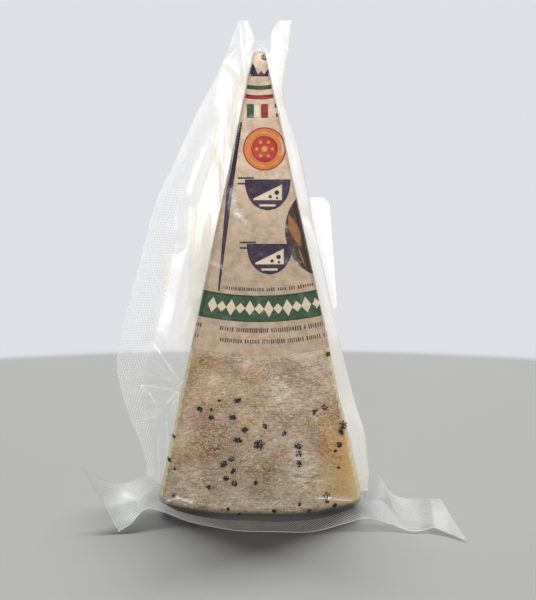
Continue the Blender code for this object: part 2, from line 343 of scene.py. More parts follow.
# ------------------------------------------------------------------------------ the wheel
@dataclass(frozen=True)
class WedgeForm:
    """The wedge of the wheel that the pack was built round, with the sizes of its source."""

    wheel_radius: float = 0.160
    wheel_height: float = 0.075
    half_angle: float = math.radians(12.3)
    lean: float = math.radians(0.14)
    tip_height: float = 0.1512
    heel_draw: float = 0.0013
    rest_width: float = 0.026
    rim_radius: float = 0.0030
    cut_edge_radius: float = 0.0018
    rim_fade: float = 0.010
    heel_corner_radius: float = 0.0028
    relief: float = 0.00030

    @property
    def front_y(self) -> float:
        """The depth of the front flat face."""
        return -self.wheel_height / 2

    @property
    def apex_z(self) -> float:
        """The height of the wheel's middle, from the flat spot's ends on the drawn heel."""
        rest = math.asin(self.rest_width / 2 / self.wheel_radius)
        return math.cos(rest) * (self.wheel_radius - self.heel_draw * (rest / self.half_angle) ** 2)

    def slope(self, side: int) -> float:
        """How fast a cut side runs outwards on its way down; side is -1 left, +1 right."""
        return math.tan(self.half_angle + side * self.lean)

    def half_width(self, side: int, height: float) -> float:
        """The distance from the middle to a cut side at a height."""
        return (self.apex_z - height) * self.slope(side)

    def side_point(self, side: int, height: float, depth: float, inset: float = 0.0) -> Point:
        """A point on a cut side, or the given distance inside it."""
        return side * (self.half_width(side, height) - inset), depth, height

    @property
    def tip_radius(self) -> float:
        """The radius of the rounded point."""
        return (self.apex_z - self.tip_height) / (1 / math.sin(self.half_angle) - 1)

    @property
    def tip_centre(self) -> float:
        """The height of the rounded point's middle."""
        return self.apex_z - self.tip_radius / math.sin(self.half_angle)

    def about_apex(self, radius: float, angle: float) -> np.ndarray:
        """A place of the front view at a distance and an angle from the wheel's middle."""
        turn = angle + self.lean
        return np.array([radius * math.sin(turn), self.apex_z - radius * math.cos(turn)])

    def outline(self, inset: float) -> list[tuple[np.ndarray, np.ndarray, float]]:
        """Follow the wedge's front view round.

        Args:
            inset: How far inside the true surface to stay.

        Returns:
            For each point its place, its outward direction and the radius of its edge.
        """
        run: list[tuple[np.ndarray, np.ndarray, float]] = []

        def arc(centre: np.ndarray, radius: float, start: float, end: float, steps: int,
                edge: Callable[[float], float], drawn: float = 0.0) -> None:
            """Run along an arc.

            Args:
                centre: Its middle.
                radius: Its radius.
                start: The angle that it starts at.
                end: The angle that it ends at.
                steps: Its number of steps.
                edge: Gives the radius of the wedge's edge at an angle.
                drawn: How far its ends are drawn in.
            """
            for step in range(steps + 1):
                turn = start + (end - start) * step / steps
                outward = np.array([math.sin(turn + self.lean), -math.cos(turn + self.lean)])
                reach = radius - drawn * (turn / corner) ** 2
                run.append((centre + outward * reach, outward, edge(turn)))

        apex = np.array([0.0, self.apex_z])
        to_corner = self.wheel_radius - self.heel_draw - self.heel_corner_radius
        corner = self.half_angle - math.asin(self.heel_corner_radius / to_corner)
        tip_radius = self.tip_radius
        side_out = math.pi / 2 + self.half_angle
        cut = self.cut_edge_radius

        def rim(angle: float) -> float:
            """Give the radius of the heel's edge, which narrows to its corners."""
            share = smooth_step(0.0, self.rim_fade, (corner - abs(angle)) * self.wheel_radius)
            return cut + (self.rim_radius - cut) * float(share)

        arc(apex, self.wheel_radius, corner, -corner, 48, rim, self.heel_draw)
        arc(self.about_apex(to_corner, -corner), self.heel_corner_radius, -corner, -side_out, 8,
            lambda angle: cut)
        arc(self.about_apex(tip_radius / math.sin(self.half_angle), 0.0), tip_radius, -side_out,
            side_out - 2 * math.pi, 16, lambda angle: cut)
        arc(self.about_apex(to_corner, corner), self.heel_corner_radius, side_out, corner, 8,
            lambda angle: cut)
        settled = []
        for place, outward, edge in run[:-1]:
            place = place - outward * inset
            place[1] = max(place[1], inset)
            settled.append((place, outward, edge - inset))
        return settled

    def solid(self, inset: float) -> tuple[np.ndarray, list[list[int]]]:
        """Loft the closed wedge.

        Args:
            inset: How far inside the true surface it stays.

        Returns:
            Its vertices and faces.
        """
        outline = self.outline(inset)
        count = len(outline)
        turns = 8
        points: list[Point] = []
        for way in (1, -1):
            flat = self.front_y * way + way * inset
            for turn in range(turns + 1) if way == 1 else range(turns, -1, -1):
                angle = math.pi / 2 * turn / turns
                for place, outward, edge in outline:
                    spot = place - outward * edge * (1 - math.sin(angle))
                    points.append((spot[0], flat + way * edge * (1 - math.cos(angle)), spot[1]))
        rings = 2 * (turns + 1)
        faces = [list(range(count)), list(range(count * rings - 1, count * (rings - 1) - 1, -1))]
        for ring in range(rings - 1):
            for index in range(count):
                after = (index + 1) % count
                faces.append([ring * count + after, ring * count + index,
                              (ring + 1) * count + index, (ring + 1) * count + after])
        return np.array(points), faces

    def relief_at(self, spot: Sequence[float]) -> float:
        """How far the hand-made surface stands out or in at a place."""
        return self.relief * (noise_at(spot, 0.030, 3.1) + 0.35 * noise_at(spot, 0.009, 8.4))

    def relief_of(self, spots: np.ndarray, front: np.ndarray) -> np.ndarray:
        """How far it stands out at each spot, with one relief for all that belongs to the front."""
        return np.array([self.relief_at((p[0], self.front_y, p[2]) if share > 0.5 else p)
                         for p, share in zip(spots, front)])

    def front_point(self, x: float, z: float, level: float) -> np.ndarray:
        """Find a place on or under the front of the pack.

        Args:
            x: The place across, in metres.
            z: The height, in metres.
            level: How far inside the film's outer surface.

        Returns:
            The point, set back where the face rounds over to a cut side.
        """
        radius = self.cut_edge_radius - level
        back = 0.0
        gaps = [(self.half_width(side, z) - side * x) * math.cos(math.atan(self.slope(side)))
                for side in (-1, 1)]
        if z > self.tip_centre:
            gaps.append(self.tip_radius - math.hypot(x, z - self.tip_centre))
        for gap in gaps:
            gap -= level
            if gap < radius:
                fallen = min(radius - gap, radius)
                back = max(back, radius - math.sqrt(radius ** 2 - fallen ** 2))
        return np.array([x, self.front_y + level + back - self.relief_at((x, self.front_y, z)), z])


FORM = WedgeForm()


# ------------------------------------------------------------------------------ finishes
@dataclass(frozen=True)
class Coat:
    """A coat of colour in clouds of a real width, as strong as a value painted on the mesh."""

    tone: str
    wide_mm: float = 0.0
    detail: float = 2.0
    rough: float = 0.6
    low: float = 0.0
    high: float = 1.0
    share: float = 1.0
    painted: str = ""
    woven: bool = False
    edge: str = "SMOOTHSTEP"
    mix: str = "MIX"

    def over(self, node: Maker, place: bpy.types.NodeSocket, colour: Any) -> bpy.types.NodeSocket:
        """Lay the coat over a colour.

        Args:
            node: The function that adds a node to the material.
            place: Where its clouds are read, in millimetres.
            colour: The colour below it, a socket or a constant.

        Returns:
            The colour with the coat on it.
        """
        share: Any = self.share
        if self.wide_mm:
            cloud = node("ShaderNodeTexNoise",
                         {"Vector": place, "Scale": 1 / self.wide_mm, "Detail": self.detail,
                          "Roughness": self.rough}, "Fac")
            share = node("ShaderNodeMapRange",
                         {"Value": cloud, "From Min": self.low, "From Max": self.high,
                          "To Max": self.share}, interpolation_type=self.edge)
        if self.painted:
            strength = node("ShaderNodeAttribute", None, "Fac", attribute_name=self.painted)
            share = node("ShaderNodeMath", {0: strength, 1: share}, operation="MULTIPLY")
        return node("ShaderNodeMix", {0: share, 6: colour, 7: linear(self.tone)}, 2,
                    data_type="RGBA", blend_type=self.mix)


@dataclass(frozen=True)
class RindFinish:
    """Washed rind of a pressed mountain cheese, and the straw-coloured paste of its cut sides.

    The rind dried against a woven cloth, so it keeps a fine grid of threads.
    """

    tan: str = "#A08464"
    # Mottling: broad pale clouds, and finer brown ones where the rind is stained.  It is lighter
    # where it was rubbed bare or thins out to the paste, with a painted highlight down the left
    # cut edge, and greyer and darker towards the bottom.
    mottling: Sequence[Coat] = (
        Coat("#B69F80", 9.0, 5.0, 0.65, 0.36, 0.64),
        Coat("#7A6046", 3.0, 6.0, 0.72, 0.48, 0.70, 0.70, woven=True),
        Coat("#94673A", 4.5, 5.0, 0.75, 0.30, 0.60, painted="stain"),
        Coat("#B9935A", 4.0, 6.0, 0.75, 0.26, 0.46, painted="bare"),
        Coat("#D2B780", share=0.9, painted="rubbed_and_lit_edge"),
        Coat("#E3EBE7", share=0.9, painted="low", mix="MULTIPLY"))
    # Brown strokes, rusty crumbs, pale bloom and its crumbs, and grey halos round the mould;
    # the bloom's coat also paints light on the heel's underside.
    specks: Sequence[Coat] = (
        Coat("#4A3626", 1.0, 3.0, 0.8, 0.60, 0.68, 0.75, "grainy", True),
        Coat("#62301C", 0.9, 2.0, 0.7, 0.54, 0.585, painted="rust"),
        Coat("#D6CBBA", 1.6, 6.0, 0.8, 0.38, 0.60, 0.80, "bloom_and_lit_heel", True),
        Coat("#D6CBBA", 0.9, 5.0, 0.8, 0.54, 0.64, 0.80, "grainy", True),
        Coat("#6E6A66", 1.1, 4.0, 0.7, 0.32, 0.62, painted="halo"))
    thread: str = "#4A3626"
    # The real pitch of the threads, about 0.6 mm, is drawn wider, so that it still shows.
    thread_mm: float = 0.85
    paste: str = "#DAC28D"
    # The crust round the cut paste is painted pale cream, a painted highlight along the cut edges.
    crust_and_edge_highlight: str = "#EADCC0"
    paste_clouds: Coat = Coat("#D2B375", 6.0, 4.0, 0.6, 0.40, 0.70, 0.30)
    roughness: float = 0.55

    def material(self) -> bpy.types.Material:
        """Build the material.

        Returns:
            The material, which reads the values painted on the cheese.
        """
        made, node, in_mm = new_finish("washed_rind_and_straw_paste")
        # The cloth pulled its weft across, so the fine marks are wider than they are high.
        weft = node("ShaderNodeVectorMath", {0: in_mm, 1: (0.6, 0.8, 1.5)}, operation="MULTIPLY")
        painted = {name: node("ShaderNodeAttribute", None, "Fac", attribute_name=name)
                   for name in ("grainy", "heel", "paste", "rind_mm")}
        region, lump, stroke, crumb = (
            node("ShaderNodeTexNoise", {"Vector": at, "Scale": 1 / wide, "Detail": detail,
                                        "Roughness": rough}, "Fac")
            for at, wide, detail, rough in ((in_mm, 8.0, 2.0, 0.6), (in_mm, 2.4, 5.0, 0.7),
                                            (weft, 0.62, 2.0, 0.8), (weft, 0.7, 2.0, 0.8)))
        colour: Any = linear(self.tan)
        for coat in self.mottling:
            colour = coat.over(node, weft if coat.woven else in_mm, colour)
        # Fine grain of the dried surface, as short strokes across.
        grain = node("ShaderNodeMapRange",
                     {"Value": stroke, "From Min": 0.34, "From Max": 0.66},
                     interpolation_type="SMOOTHSTEP")
        shade = node("ShaderNodeMix", {0: grain, 6: (0.58, 0.56, 0.54, 1.0),
                                       7: (1.36, 1.36, 1.36, 1.0)}, 2, data_type="RGBA")
        share = node("ShaderNodeMath", {0: painted["grainy"], 1: 0.9}, operation="MULTIPLY")
        colour = node("ShaderNodeMix", {0: share, 6: colour, 7: shade}, 2,
                      data_type="RGBA", blend_type="MULTIPLY")
        # The cloth's threads, in patches; each crossing leaves a raised dot.
        dots = self.crossings(node, in_mm, painted["heel"])
        patch = node("ShaderNodeMapRange",
                     {"Value": region, "From Min": 0.42, "From Max": 0.56},
                     interpolation_type="SMOOTHSTEP")
        patch = node("ShaderNodeMath", {0: patch, 1: painted["grainy"]}, operation="MULTIPLY")
        gaps = node("ShaderNodeMapRange",
                    {"Value": dots, "From Min": 0.02, "From Max": 0.32, "To Min": 0.34,
                     "To Max": 0.0}, interpolation_type="SMOOTHSTEP")
        gaps = node("ShaderNodeMath", {0: gaps, 1: patch}, operation="MULTIPLY")
        colour = node("ShaderNodeMix", {0: gaps, 6: colour, 7: linear(self.thread)}, 2,
                      data_type="RGBA")
        for coat in self.specks:
            colour = coat.over(node, weft if coat.woven else in_mm, colour)
        # The cut paste, and the line of crust round it, painted pale as a highlight along the cut
        # edges.
        inner = node("ShaderNodeMapRange",
                     {"Value": painted["rind_mm"], "From Min": 0.2, "From Max": 2.2},
                     interpolation_type="SMOOTHSTEP")
        paste = node("ShaderNodeMix", {0: inner, 6: linear(self.crust_and_edge_highlight),
                                       7: linear(self.paste)}, 2, data_type="RGBA")
        paste = self.paste_clouds.over(node, in_mm, paste)
        colour = node("ShaderNodeMix", {0: painted["paste"], 6: colour, 7: paste}, 2,
                      data_type="RGBA")
        # Lumps, crumbs and the threads' dots stand up on the rind; the paste is smoother.
        raised = node("ShaderNodeMath", {0: dots, 1: patch}, operation="MULTIPLY")
        height: Any = 0.0
        for pattern, gain in ((lump, 0.6), (crumb, 0.35), (raised, 0.30)):
            height = node("ShaderNodeMath", {0: pattern, 1: gain, 2: height},
                          operation="MULTIPLY_ADD")
        rugged = node("ShaderNodeMath", {0: painted["paste"], 1: -0.8, 2: 1.0},
                      operation="MULTIPLY_ADD")
        height = node("ShaderNodeMath", {0: height, 1: rugged}, operation="MULTIPLY")
        bump = node("ShaderNodeBump", {"Height": height, "Distance": 0.00050, "Strength": 0.9})
        plug(made.node_tree.nodes["Principled BSDF"],
             {"Base Color": colour, "Roughness": self.roughness, "Specular IOR Level": 0.15,
              "Normal": bump})
        return made

    def crossings(self, node: Maker, in_mm: bpy.types.NodeSocket,
                  heel: bpy.types.NodeSocket) -> bpy.types.NodeSocket:
        """Make a pattern that is 1 where two threads of the cloth crossed.

        Args:
            node: The function that adds a node to the material.
            in_mm: The place on the object.
            heel: The share of the heel, where the threads run front to back.

        Returns:
            The pattern.
        """
        jitter = node("ShaderNodeTexNoise",
                      {"Vector": in_mm, "Scale": 0.5, "Detail": 1.0}, "Color")
        bent = node("ShaderNodeVectorMath", {0: jitter, 1: (1.8, 1.8, 1.8), 2: in_mm},
                    operation="MULTIPLY_ADD")
        across, back, up = node("ShaderNodeSeparateXYZ", {0: bent}).node.outputs
        upright = node("ShaderNodeMix", {0: heel, 2: up, 3: back}, data_type="FLOAT")
        dots: Any = 1.0
        for way in (across, upright):
            phase = node("ShaderNodeMath", {0: way, 1: 2 * math.pi / self.thread_mm},
                         operation="MULTIPLY")
            wave = node("ShaderNodeMath", {0: phase}, operation="SINE")
            wave = node("ShaderNodeMath", {0: wave, 1: 0.5, 2: 0.5}, operation="MULTIPLY_ADD")
            dots = node("ShaderNodeMath", {0: wave, 1: dots}, operation="MULTIPLY")
        return dots


@dataclass(frozen=True)
class FilmFinish:
    """Clear laminate film of polyamide and polyethylene, blown and heat-welded.

    It is glossy and nearly colourless; a fold, a weld or a rib turns it milky, and it mirrors
    more the flatter it is looked along.  A value on the mesh says where it is milky; the same value
    also paints highlights and glow on the film as milk, and a second value paints the cheese's
    warm reflection in it.
    """

    name: str = "clear_laminate_film"
    haze: float = 0.06
    milk_and_highlight_gain: float = 0.80
    edge_gain: float = 0.30
    clear_tone: str = "#F2F3F2"
    milk_and_highlight_tone: str = "#FDFDFB"
    cheese_reflection_tone: str = "#FFF6DC"
    roughness: float = 0.28
    mirror_ior: float = 2.0
    ripple_mm: float = 5.0
    ripple: float = 0.30
    stretch: Point = (1.0, 1.0, 0.30)

    def material(self) -> bpy.types.Material:
        """Build the material.

        Returns:
            The material.
        """
        made, node, in_mm = new_finish(self.name)
        shader = made.node_tree.nodes["Principled BSDF"]
        drawn = node("ShaderNodeVectorMath", {0: in_mm, 1: self.stretch}, operation="MULTIPLY")
        ripple = node("ShaderNodeTexNoise",
                      {"Vector": drawn, "Scale": 1 / self.ripple_mm, "Detail": 3.0,
                       "Distortion": 0.8}, "Fac")
        bump = node("ShaderNodeBump",
                    {"Height": ripple, "Distance": 0.0012, "Strength": self.ripple})
        milk_and_highlight, cheese_reflection = (node("ShaderNodeAttribute", None, "Fac", attribute_name=name)
                      for name in ("milk_and_highlight", "cheese_reflection"))
        facing = node("ShaderNodeLayerWeight", {"Blend": 0.20}, "Facing")
        milky = node("ShaderNodeMath", {0: milk_and_highlight, 1: self.milk_and_highlight_gain, 2: self.haze},
                     operation="MULTIPLY_ADD")
        share = node("ShaderNodeMath", {0: facing, 1: self.edge_gain, 2: milky},
                     operation="MULTIPLY_ADD", use_clamp=True)
        white = node("ShaderNodeMapRange", {"Value": milk_and_highlight, "From Max": 0.35})
        tone: Any = linear(self.clear_tone)
        # The milk turns the film white, also where highlights are painted as milk; the painted
        # reflection of the cheese turns it warm.
        for part, code in ((white, self.milk_and_highlight_tone), (cheese_reflection, self.cheese_reflection_tone)):
            tone = node("ShaderNodeMix", {0: part, 6: tone, 7: linear(code)}, 2, data_type="RGBA")
        # The see-through share takes most of the mirror away, so it starts stronger than 1.5 gives.
        plug(shader, {"Base Color": tone, "Roughness": self.roughness, "IOR": self.mirror_ior,
                      "Normal": bump})
        clear = node("ShaderNodeBsdfTransparent")
        mixed = node("ShaderNodeMixShader", {0: share, 1: clear, 2: shader.outputs[0]})
        plug(made.node_tree.nodes["Material Output"], {"Surface": mixed})
        return made


@dataclass(frozen=True)
class PaperFinish:
    """Thin uncoated paper.  Its fibres give a faint mottle and a soft, dull surface."""

    name: str
    upper: str
    lower: str
    low_mm: float
    high_mm: float
    mottle: str
    mottle_share: float
    roughness: float = 0.6
    tip: str | None = None
    tip_mm: float = 147.0
    tip_fade_mm: float = 3.0
    fibre: float = 0.30
    crumple_mm: float = 0.9

    def material(self) -> bpy.types.Material:
        """Build the material.

        Returns:
            The material.
        """
        made, node, in_mm = new_finish(self.name)
        height = node("ShaderNodeSeparateXYZ", {0: in_mm}, 2)
        # The paper runs from the lower colour to the upper one as it rises, and can have a lighter
        # tip; on the face label this is painted light from above.
        rise = node("ShaderNodeMapRange",
                    {"Value": height, "From Min": self.low_mm, "From Max": self.high_mm})
        base = node("ShaderNodeMix", {0: rise, 6: linear(self.lower),
                                      7: linear(self.upper)}, 2, data_type="RGBA")
        if self.tip is not None:
            crown = node("ShaderNodeMapRange",
                         {"Value": height, "From Min": self.tip_mm - self.tip_fade_mm,
                          "From Max": self.tip_mm}, interpolation_type="SMOOTHSTEP")
            base = node("ShaderNodeMix", {0: crown, 6: base, 7: linear(self.tip)}, 2,
                        data_type="RGBA")
        cloud, fibre = (
            node("ShaderNodeTexNoise", {"Vector": in_mm, "Scale": scale, "Detail": detail,
                                        "Roughness": 0.70}, "Fac")
            for scale, detail in ((0.30, 7.0), (1.4, 5.0)))
        share = node("ShaderNodeMapRange",
                     {"Value": cloud, "From Min": 0.42, "From Max": 0.66,
                      "To Max": self.mottle_share})
        mixed = node("ShaderNodeMix", {0: share, 6: base, 7: linear(self.mottle)}, 2,
                     data_type="RGBA")
        crumple = node("ShaderNodeMath", {0: fibre, 1: self.fibre, 2: cloud},
                       operation="MULTIPLY_ADD")
        bump = node("ShaderNodeBump",
                    {"Height": crumple, "Distance": self.crumple_mm * MM, "Strength": 0.8})
        plug(made.node_tree.nodes["Principled BSDF"],
             {"Base Color": mixed, "Roughness": self.roughness, "Specular IOR Level": 0.12,
              "Normal": bump})
        return made


@dataclass(frozen=True)
class InkFinish:
    """Flat printing ink on paper, thin enough for the paper's mottle to show in it."""

    name: str
    colour: str
    worn: str
    worn_share: float = 0.35
    roughness: float = 0.5

    def material(self) -> bpy.types.Material:
        """Build the material.

        Returns:
            The material.
        """
        made, node, in_mm = new_finish(self.name)
        wear = Coat(self.worn, 1 / 0.9, 6.0, 0.7, 0.45, 0.75, self.worn_share, edge="LINEAR")
        plug(made.node_tree.nodes["Principled BSDF"],
             {"Base Color": wear.over(node, in_mm, linear(self.colour)),
              "Roughness": self.roughness, "Specular IOR Level": 0.12})
        return made


# ------------------------------------------------------------------------------ repeated shapes
class Grain(Enum):
    """The small shapes that are repeated along a surface, each with its node and its sizes."""

    BAR = ("GeometryNodeMeshCylinder", {"Vertices": 6, "Radius": 0.5, "Depth": 1.0})
    LOZENGE = ("GeometryNodeMeshCone",
               {"Vertices": 4, "Radius Top": 0.12, "Radius Bottom": 0.5, "Depth": 1.0})
    CRUMB = ("GeometryNodeMeshIcoSphere", {"Radius": 0.5, "Subdivisions": 1})


def repeat_on(name: str, guides: np.ndarray, turns: np.ndarray, sizes: np.ndarray, grain: Grain,
              material: bpy.types.Material, seed: int = 0, jitter: float = 0.0) -> bpy.types.Object:
    """Set one small shape at each guide point, by Geometry Nodes.

    Args:
        name: The piece's name.
        guides: Where each shape stands.
        turns: Its turn, as Euler angles.
        sizes: Its length, width and height.
        grain: Which shape.
        material: Its material.
        seed: The seed of the size's jitter.
        jitter: The share by which sizes differ.

    Returns:
        The piece, as a plain mesh.
    """
    tree = bpy.data.node_groups.new(name + "_tree", "GeometryNodeTree")
    node = partial(add_node, tree)
    face = tree.interface
    face.new_socket("Geometry", in_out="INPUT", socket_type="NodeSocketGeometry")
    smallest, largest, finish = (
        face.new_socket(label, in_out="INPUT", socket_type="NodeSocket" + kind)
        for label, kind in (("Smallest share", "Float"), ("Largest share", "Float"),
                            ("Finish", "Material")))
    face.new_socket("Geometry", in_out="OUTPUT", socket_type="NodeSocketGeometry")
    entry = node("NodeGroupInput").node.outputs
    shape = node(*grain.value)
    if grain is Grain.BAR:
        shape = node("GeometryNodeTransform",
                     {"Geometry": shape, "Rotation": (0.0, math.pi / 2, 0.0)})
    turn, size = (node("GeometryNodeInputNamedAttribute", {"Name": label},
                       data_type="FLOAT_VECTOR") for label in ("turn", "size"))
    share = node("FunctionNodeRandomValue",
                 {2: entry["Smallest share"], 3: entry["Largest share"], "Seed": seed}, 1,
                 data_type="FLOAT")
    size = node("ShaderNodeVectorMath", {0: size, "Scale": share}, operation="SCALE")
    turn = node("FunctionNodeEulerToRotation", {0: turn})
    spread = node("GeometryNodeInstanceOnPoints",
                  {"Points": entry["Geometry"], "Instance": shape, "Rotation": turn,
                   "Scale": size})
    real = node("GeometryNodeRealizeInstances", {0: spread})
    dressed = node("GeometryNodeSetMaterial", {"Geometry": real, "Material": entry["Finish"]})
    node("NodeGroupOutput", {0: dressed})
    piece = make_piece(name, guides, [], [material], {"turn": turns, "size": sizes})
    grow = piece.modifiers.new("repeat", "NODES")
    grow.node_group = tree
    grow[smallest.identifier] = 1.0 - jitter
    grow[largest.identifier] = 1.0 + jitter
    grow[finish.identifier] = material
    return bake_modifiers(piece)


def turns_of(along: Sequence[Point], normal: Sequence[Point]) -> np.ndarray:
    """Give the Euler angles that lay X along a surface and Z out of it.

    Args:
        along: The direction of X at each place.
        normal: The surface's outward direction at each place.

    Returns:
        One row of three angles for each place.
    """
    angles = []
    for first, third in zip(along, normal):
        x_axis = Vector(first).normalized()
        z_axis = (Vector(third) - x_axis * x_axis.dot(Vector(third))).normalized()
        frame = Matrix((x_axis, z_axis.cross(x_axis), z_axis)).transposed()
        angles.append(tuple(frame.to_euler()))
    return np.array(angles)


@dataclass
class Marks:
    """Small shapes collected for one piece: the place, way, outward direction and size of each."""

    rows: list[tuple[float, ...]] = field(default_factory=list)

    def add(self, spot: Sequence[float], along: Sequence[float], outward: Sequence[float],
            size: Sequence[float]) -> None:
        """Collect one shape."""
        self.rows.append((*spot, *along, *outward, *size))

    def build(self, name: str, grain: Grain, material: bpy.types.Material) -> bpy.types.Object:
        """Build the piece.

        Args:
            name: Its name.
            grain: Which shape it repeats.
            material: Its material.

        Returns:
            The piece, as a plain mesh.
        """
        spots, ways, outs, sizes = np.split(np.array(self.rows, float), 4, axis=1)
        LOG.info("%s: %d marks", name, len(spots))
        return repeat_on(name, spots, turns_of(ways, outs), sizes, grain, material)


# ------------------------------------------------------------------------------ the cheese
@dataclass(frozen=True)
class Blot:
    """A soft-edged patch of the front face, in millimetres."""

    x: float
    z: float
    wide: float
    tall: float
    strength: float

    def over(self, places: np.ndarray) -> np.ndarray:
        """Give how strong the patch is at each place of the front view."""
        reach = ((places - (self.x, self.z)) / (self.wide, self.tall)) ** 2
        return self.strength * np.exp(-reach.sum(axis=-1))


@dataclass
class Cheese:
    """The wedge of cheese: rind on its flat faces and heel, paste on its cut sides."""

    inset: float = 0.00040
    voxel: float = 0.00070
    label_radius_mm: float = 106.0
    stains: Sequence[Blot] = (
        Blot(-17.6, 51.0, 4.5, 5.0, 0.9), Blot(-25.7, 39.0, 3.0, 7.0, 0.8),
        Blot(-19.5, 21.0, 7.0, 6.0, 0.7), Blot(19.5, 23.0, 6.0, 6.0, 1.0),
        Blot(-25.5, 15.0, 4.0, 6.0, 0.5), Blot(21.5, 33.0, 5.0, 4.0, 0.6),
        Blot(-3.0, 46.0, 5.0, 4.0, 0.35), Blot(14.0, 43.0, 6.0, 4.0, 0.5),
        Blot(3.0, 33.0, 5.0, 3.0, 0.3), Blot(18.0, 49.0, 4.0, 4.0, 0.4))
    blooms_and_lit_heel: Sequence[Blot] = (
        Blot(6.0, 41.0, 5.0, 8.0, 0.8), Blot(13.5, 21.0, 5.0, 7.0, 0.8),
        Blot(17.0, 13.0, 8.0, 5.0, 0.7), Blot(1.0, 25.0, 9.0, 5.0, 0.5),
        Blot(-15.0, 44.5, 5.0, 3.0, 0.6), Blot(-4.6, 50.8, 4.0, 2.0, 0.8),
        Blot(0.0, 54.5, 22.0, 2.2, 0.9), Blot(18.0, 41.0, 7.0, 4.0, 0.5),
        Blot(-5.0, 43.0, 4.0, 4.0, 0.4), Blot(-16.5, 14.0, 6.0, 5.0, 0.35),
        # The first patch on the next line is a painted light on the heel's rounded underside.
        Blot(0.0, 2.0, 34.0, 6.0, 0.70), Blot(15.0, 36.0, 5.0, 4.0, 0.4),
        Blot(19.0, 50.0, 8.0, 6.0, 0.6), Blot(-24.0, 29.0, 5.0, 9.0, 0.4),
        Blot(-24.0, 11.0, 7.0, 7.0, 0.5))
    bare: Sequence[Blot] = (
        Blot(29.5, 11.0, 7.5, 11.0, 1.5), Blot(26.5, 24.0, 5.0, 7.0, 0.9),
        Blot(-22.5, 54.5, 2.5, 4.0, 0.8), Blot(23.5, 9.0, 5.0, 6.0, 0.6))
    rubbed_and_lit_edge: Sequence[Blot] = (
        Blot(33.5, 11.0, 3.4, 11.0, 1.2), Blot(31.2, 22.0, 2.0, 7.0, 0.9),
        # The last two patches, down the left cut edge, are a painted highlight; the rest is
        # rubbing.
        Blot(-23.0, 53.5, 1.2, 3.5, 0.7), Blot(-34.0, 6.0, 1.0, 20.0, 0.5),
        Blot(-27.5, 36.0, 1.0, 12.0, 0.5))
    rust: Sequence[Blot] = (
        Blot(-18.0, 24.0, 5.0, 6.0, 0.9), Blot(-12.0, 29.0, 2.0, 4.0, 0.7),
        Blot(-14.5, 22.0, 3.0, 1.2, 1.0), Blot(-6.0, 19.6, 3.0, 1.0, 1.0),
        Blot(4.0, 15.4, 5.0, 0.9, 1.0), Blot(20.5, 24.0, 3.0, 3.0, 0.7),
        Blot(24.5, 20.0, 2.5, 3.5, 0.8), Blot(2.0, 27.0, 3.0, 2.0, 0.5),
        Blot(-19.0, 50.0, 4.0, 4.0, 0.5), Blot(10.0, 47.0, 8.0, 5.0, 0.35),
        Blot(-23.0, 36.0, 2.0, 6.0, 0.5))
    mould: Sequence[tuple[float, float, float, float]] = (
        (-19.3, 35.7, 0.9, 1), (-15.6, 32.9, 0.9, 1), (-15.6, 35.5, 0.4, 1), (-8.7, 32.9, 1.1, 1),
        (-7.1, 38.4, 1.0, 0.9), (-13.0, 38.4, 0.4, 0.8), (-4.7, 28.8, 1.0, 0.9),
        (-7.1, 25.3, 1.3, 1), (-0.1, 23.9, 1.6, 1), (1.8, 29.9, 0.9, 0.6), (8.1, 27.6, 0.7, 0.5),
        (12.7, 23.3, 1.3, 0.9), (12.9, 20.8, 1.1, 0.4), (12.9, 17.8, 1.0, 0.8),
        (-9.1, 19.2, 0.9, 0.9), (-11.7, 17.4, 1.2, 0.8), (-8.5, 15.1, 1.0, 0.9),
        (-10.9, 12.6, 0.9, 0.9), (-8.2, 10.9, 1.0, 0.8), (-1.2, 11.2, 0.7, 0.9),
        (-16.6, 9.7, 0.8, 0.8), (-27.8, 6.9, 1.0, 0.6), (-27.6, 16.0, 0.4, 1),
        (-29.4, 18.9, 0.6, 0.9), (-27.9, 26.6, 0.6, 1), (22.3, 53.5, 0.8, 0.8),
        (18.0, 34.9, 1.1, 0.45), (21.0, 36.2, 1.1, 0.45), (27.3, 30.2, 1.2, 1),
        (26.6, 28.0, 1.0, 1), (26.1, 23.9, 0.8, 1), (24.9, 21.9, 0.5, 0.6), (25.8, 16.4, 0.4, 1),
        (21.9, 7.0, 1.2, 0.5), (22.0, 5.1, 0.6, 0.6), (24.6, 3.7, 0.7, 0.8), (13.2, 4.1, 0.5, 0.8),
        (16.2, 1.9, 0.6, 0.7), (4.8, 1.8, 0.6, 0.8), (-10.3, 2.4, 0.6, 0.7), (-6.5, 0.9, 0.4, 0.7))
    crack: Sequence[Place] = ((6.4, 45.0), (7.6, 42.4), (6.9, 40.6), (7.3, 38.0))
    finish: RindFinish = field(default_factory=RindFinish)

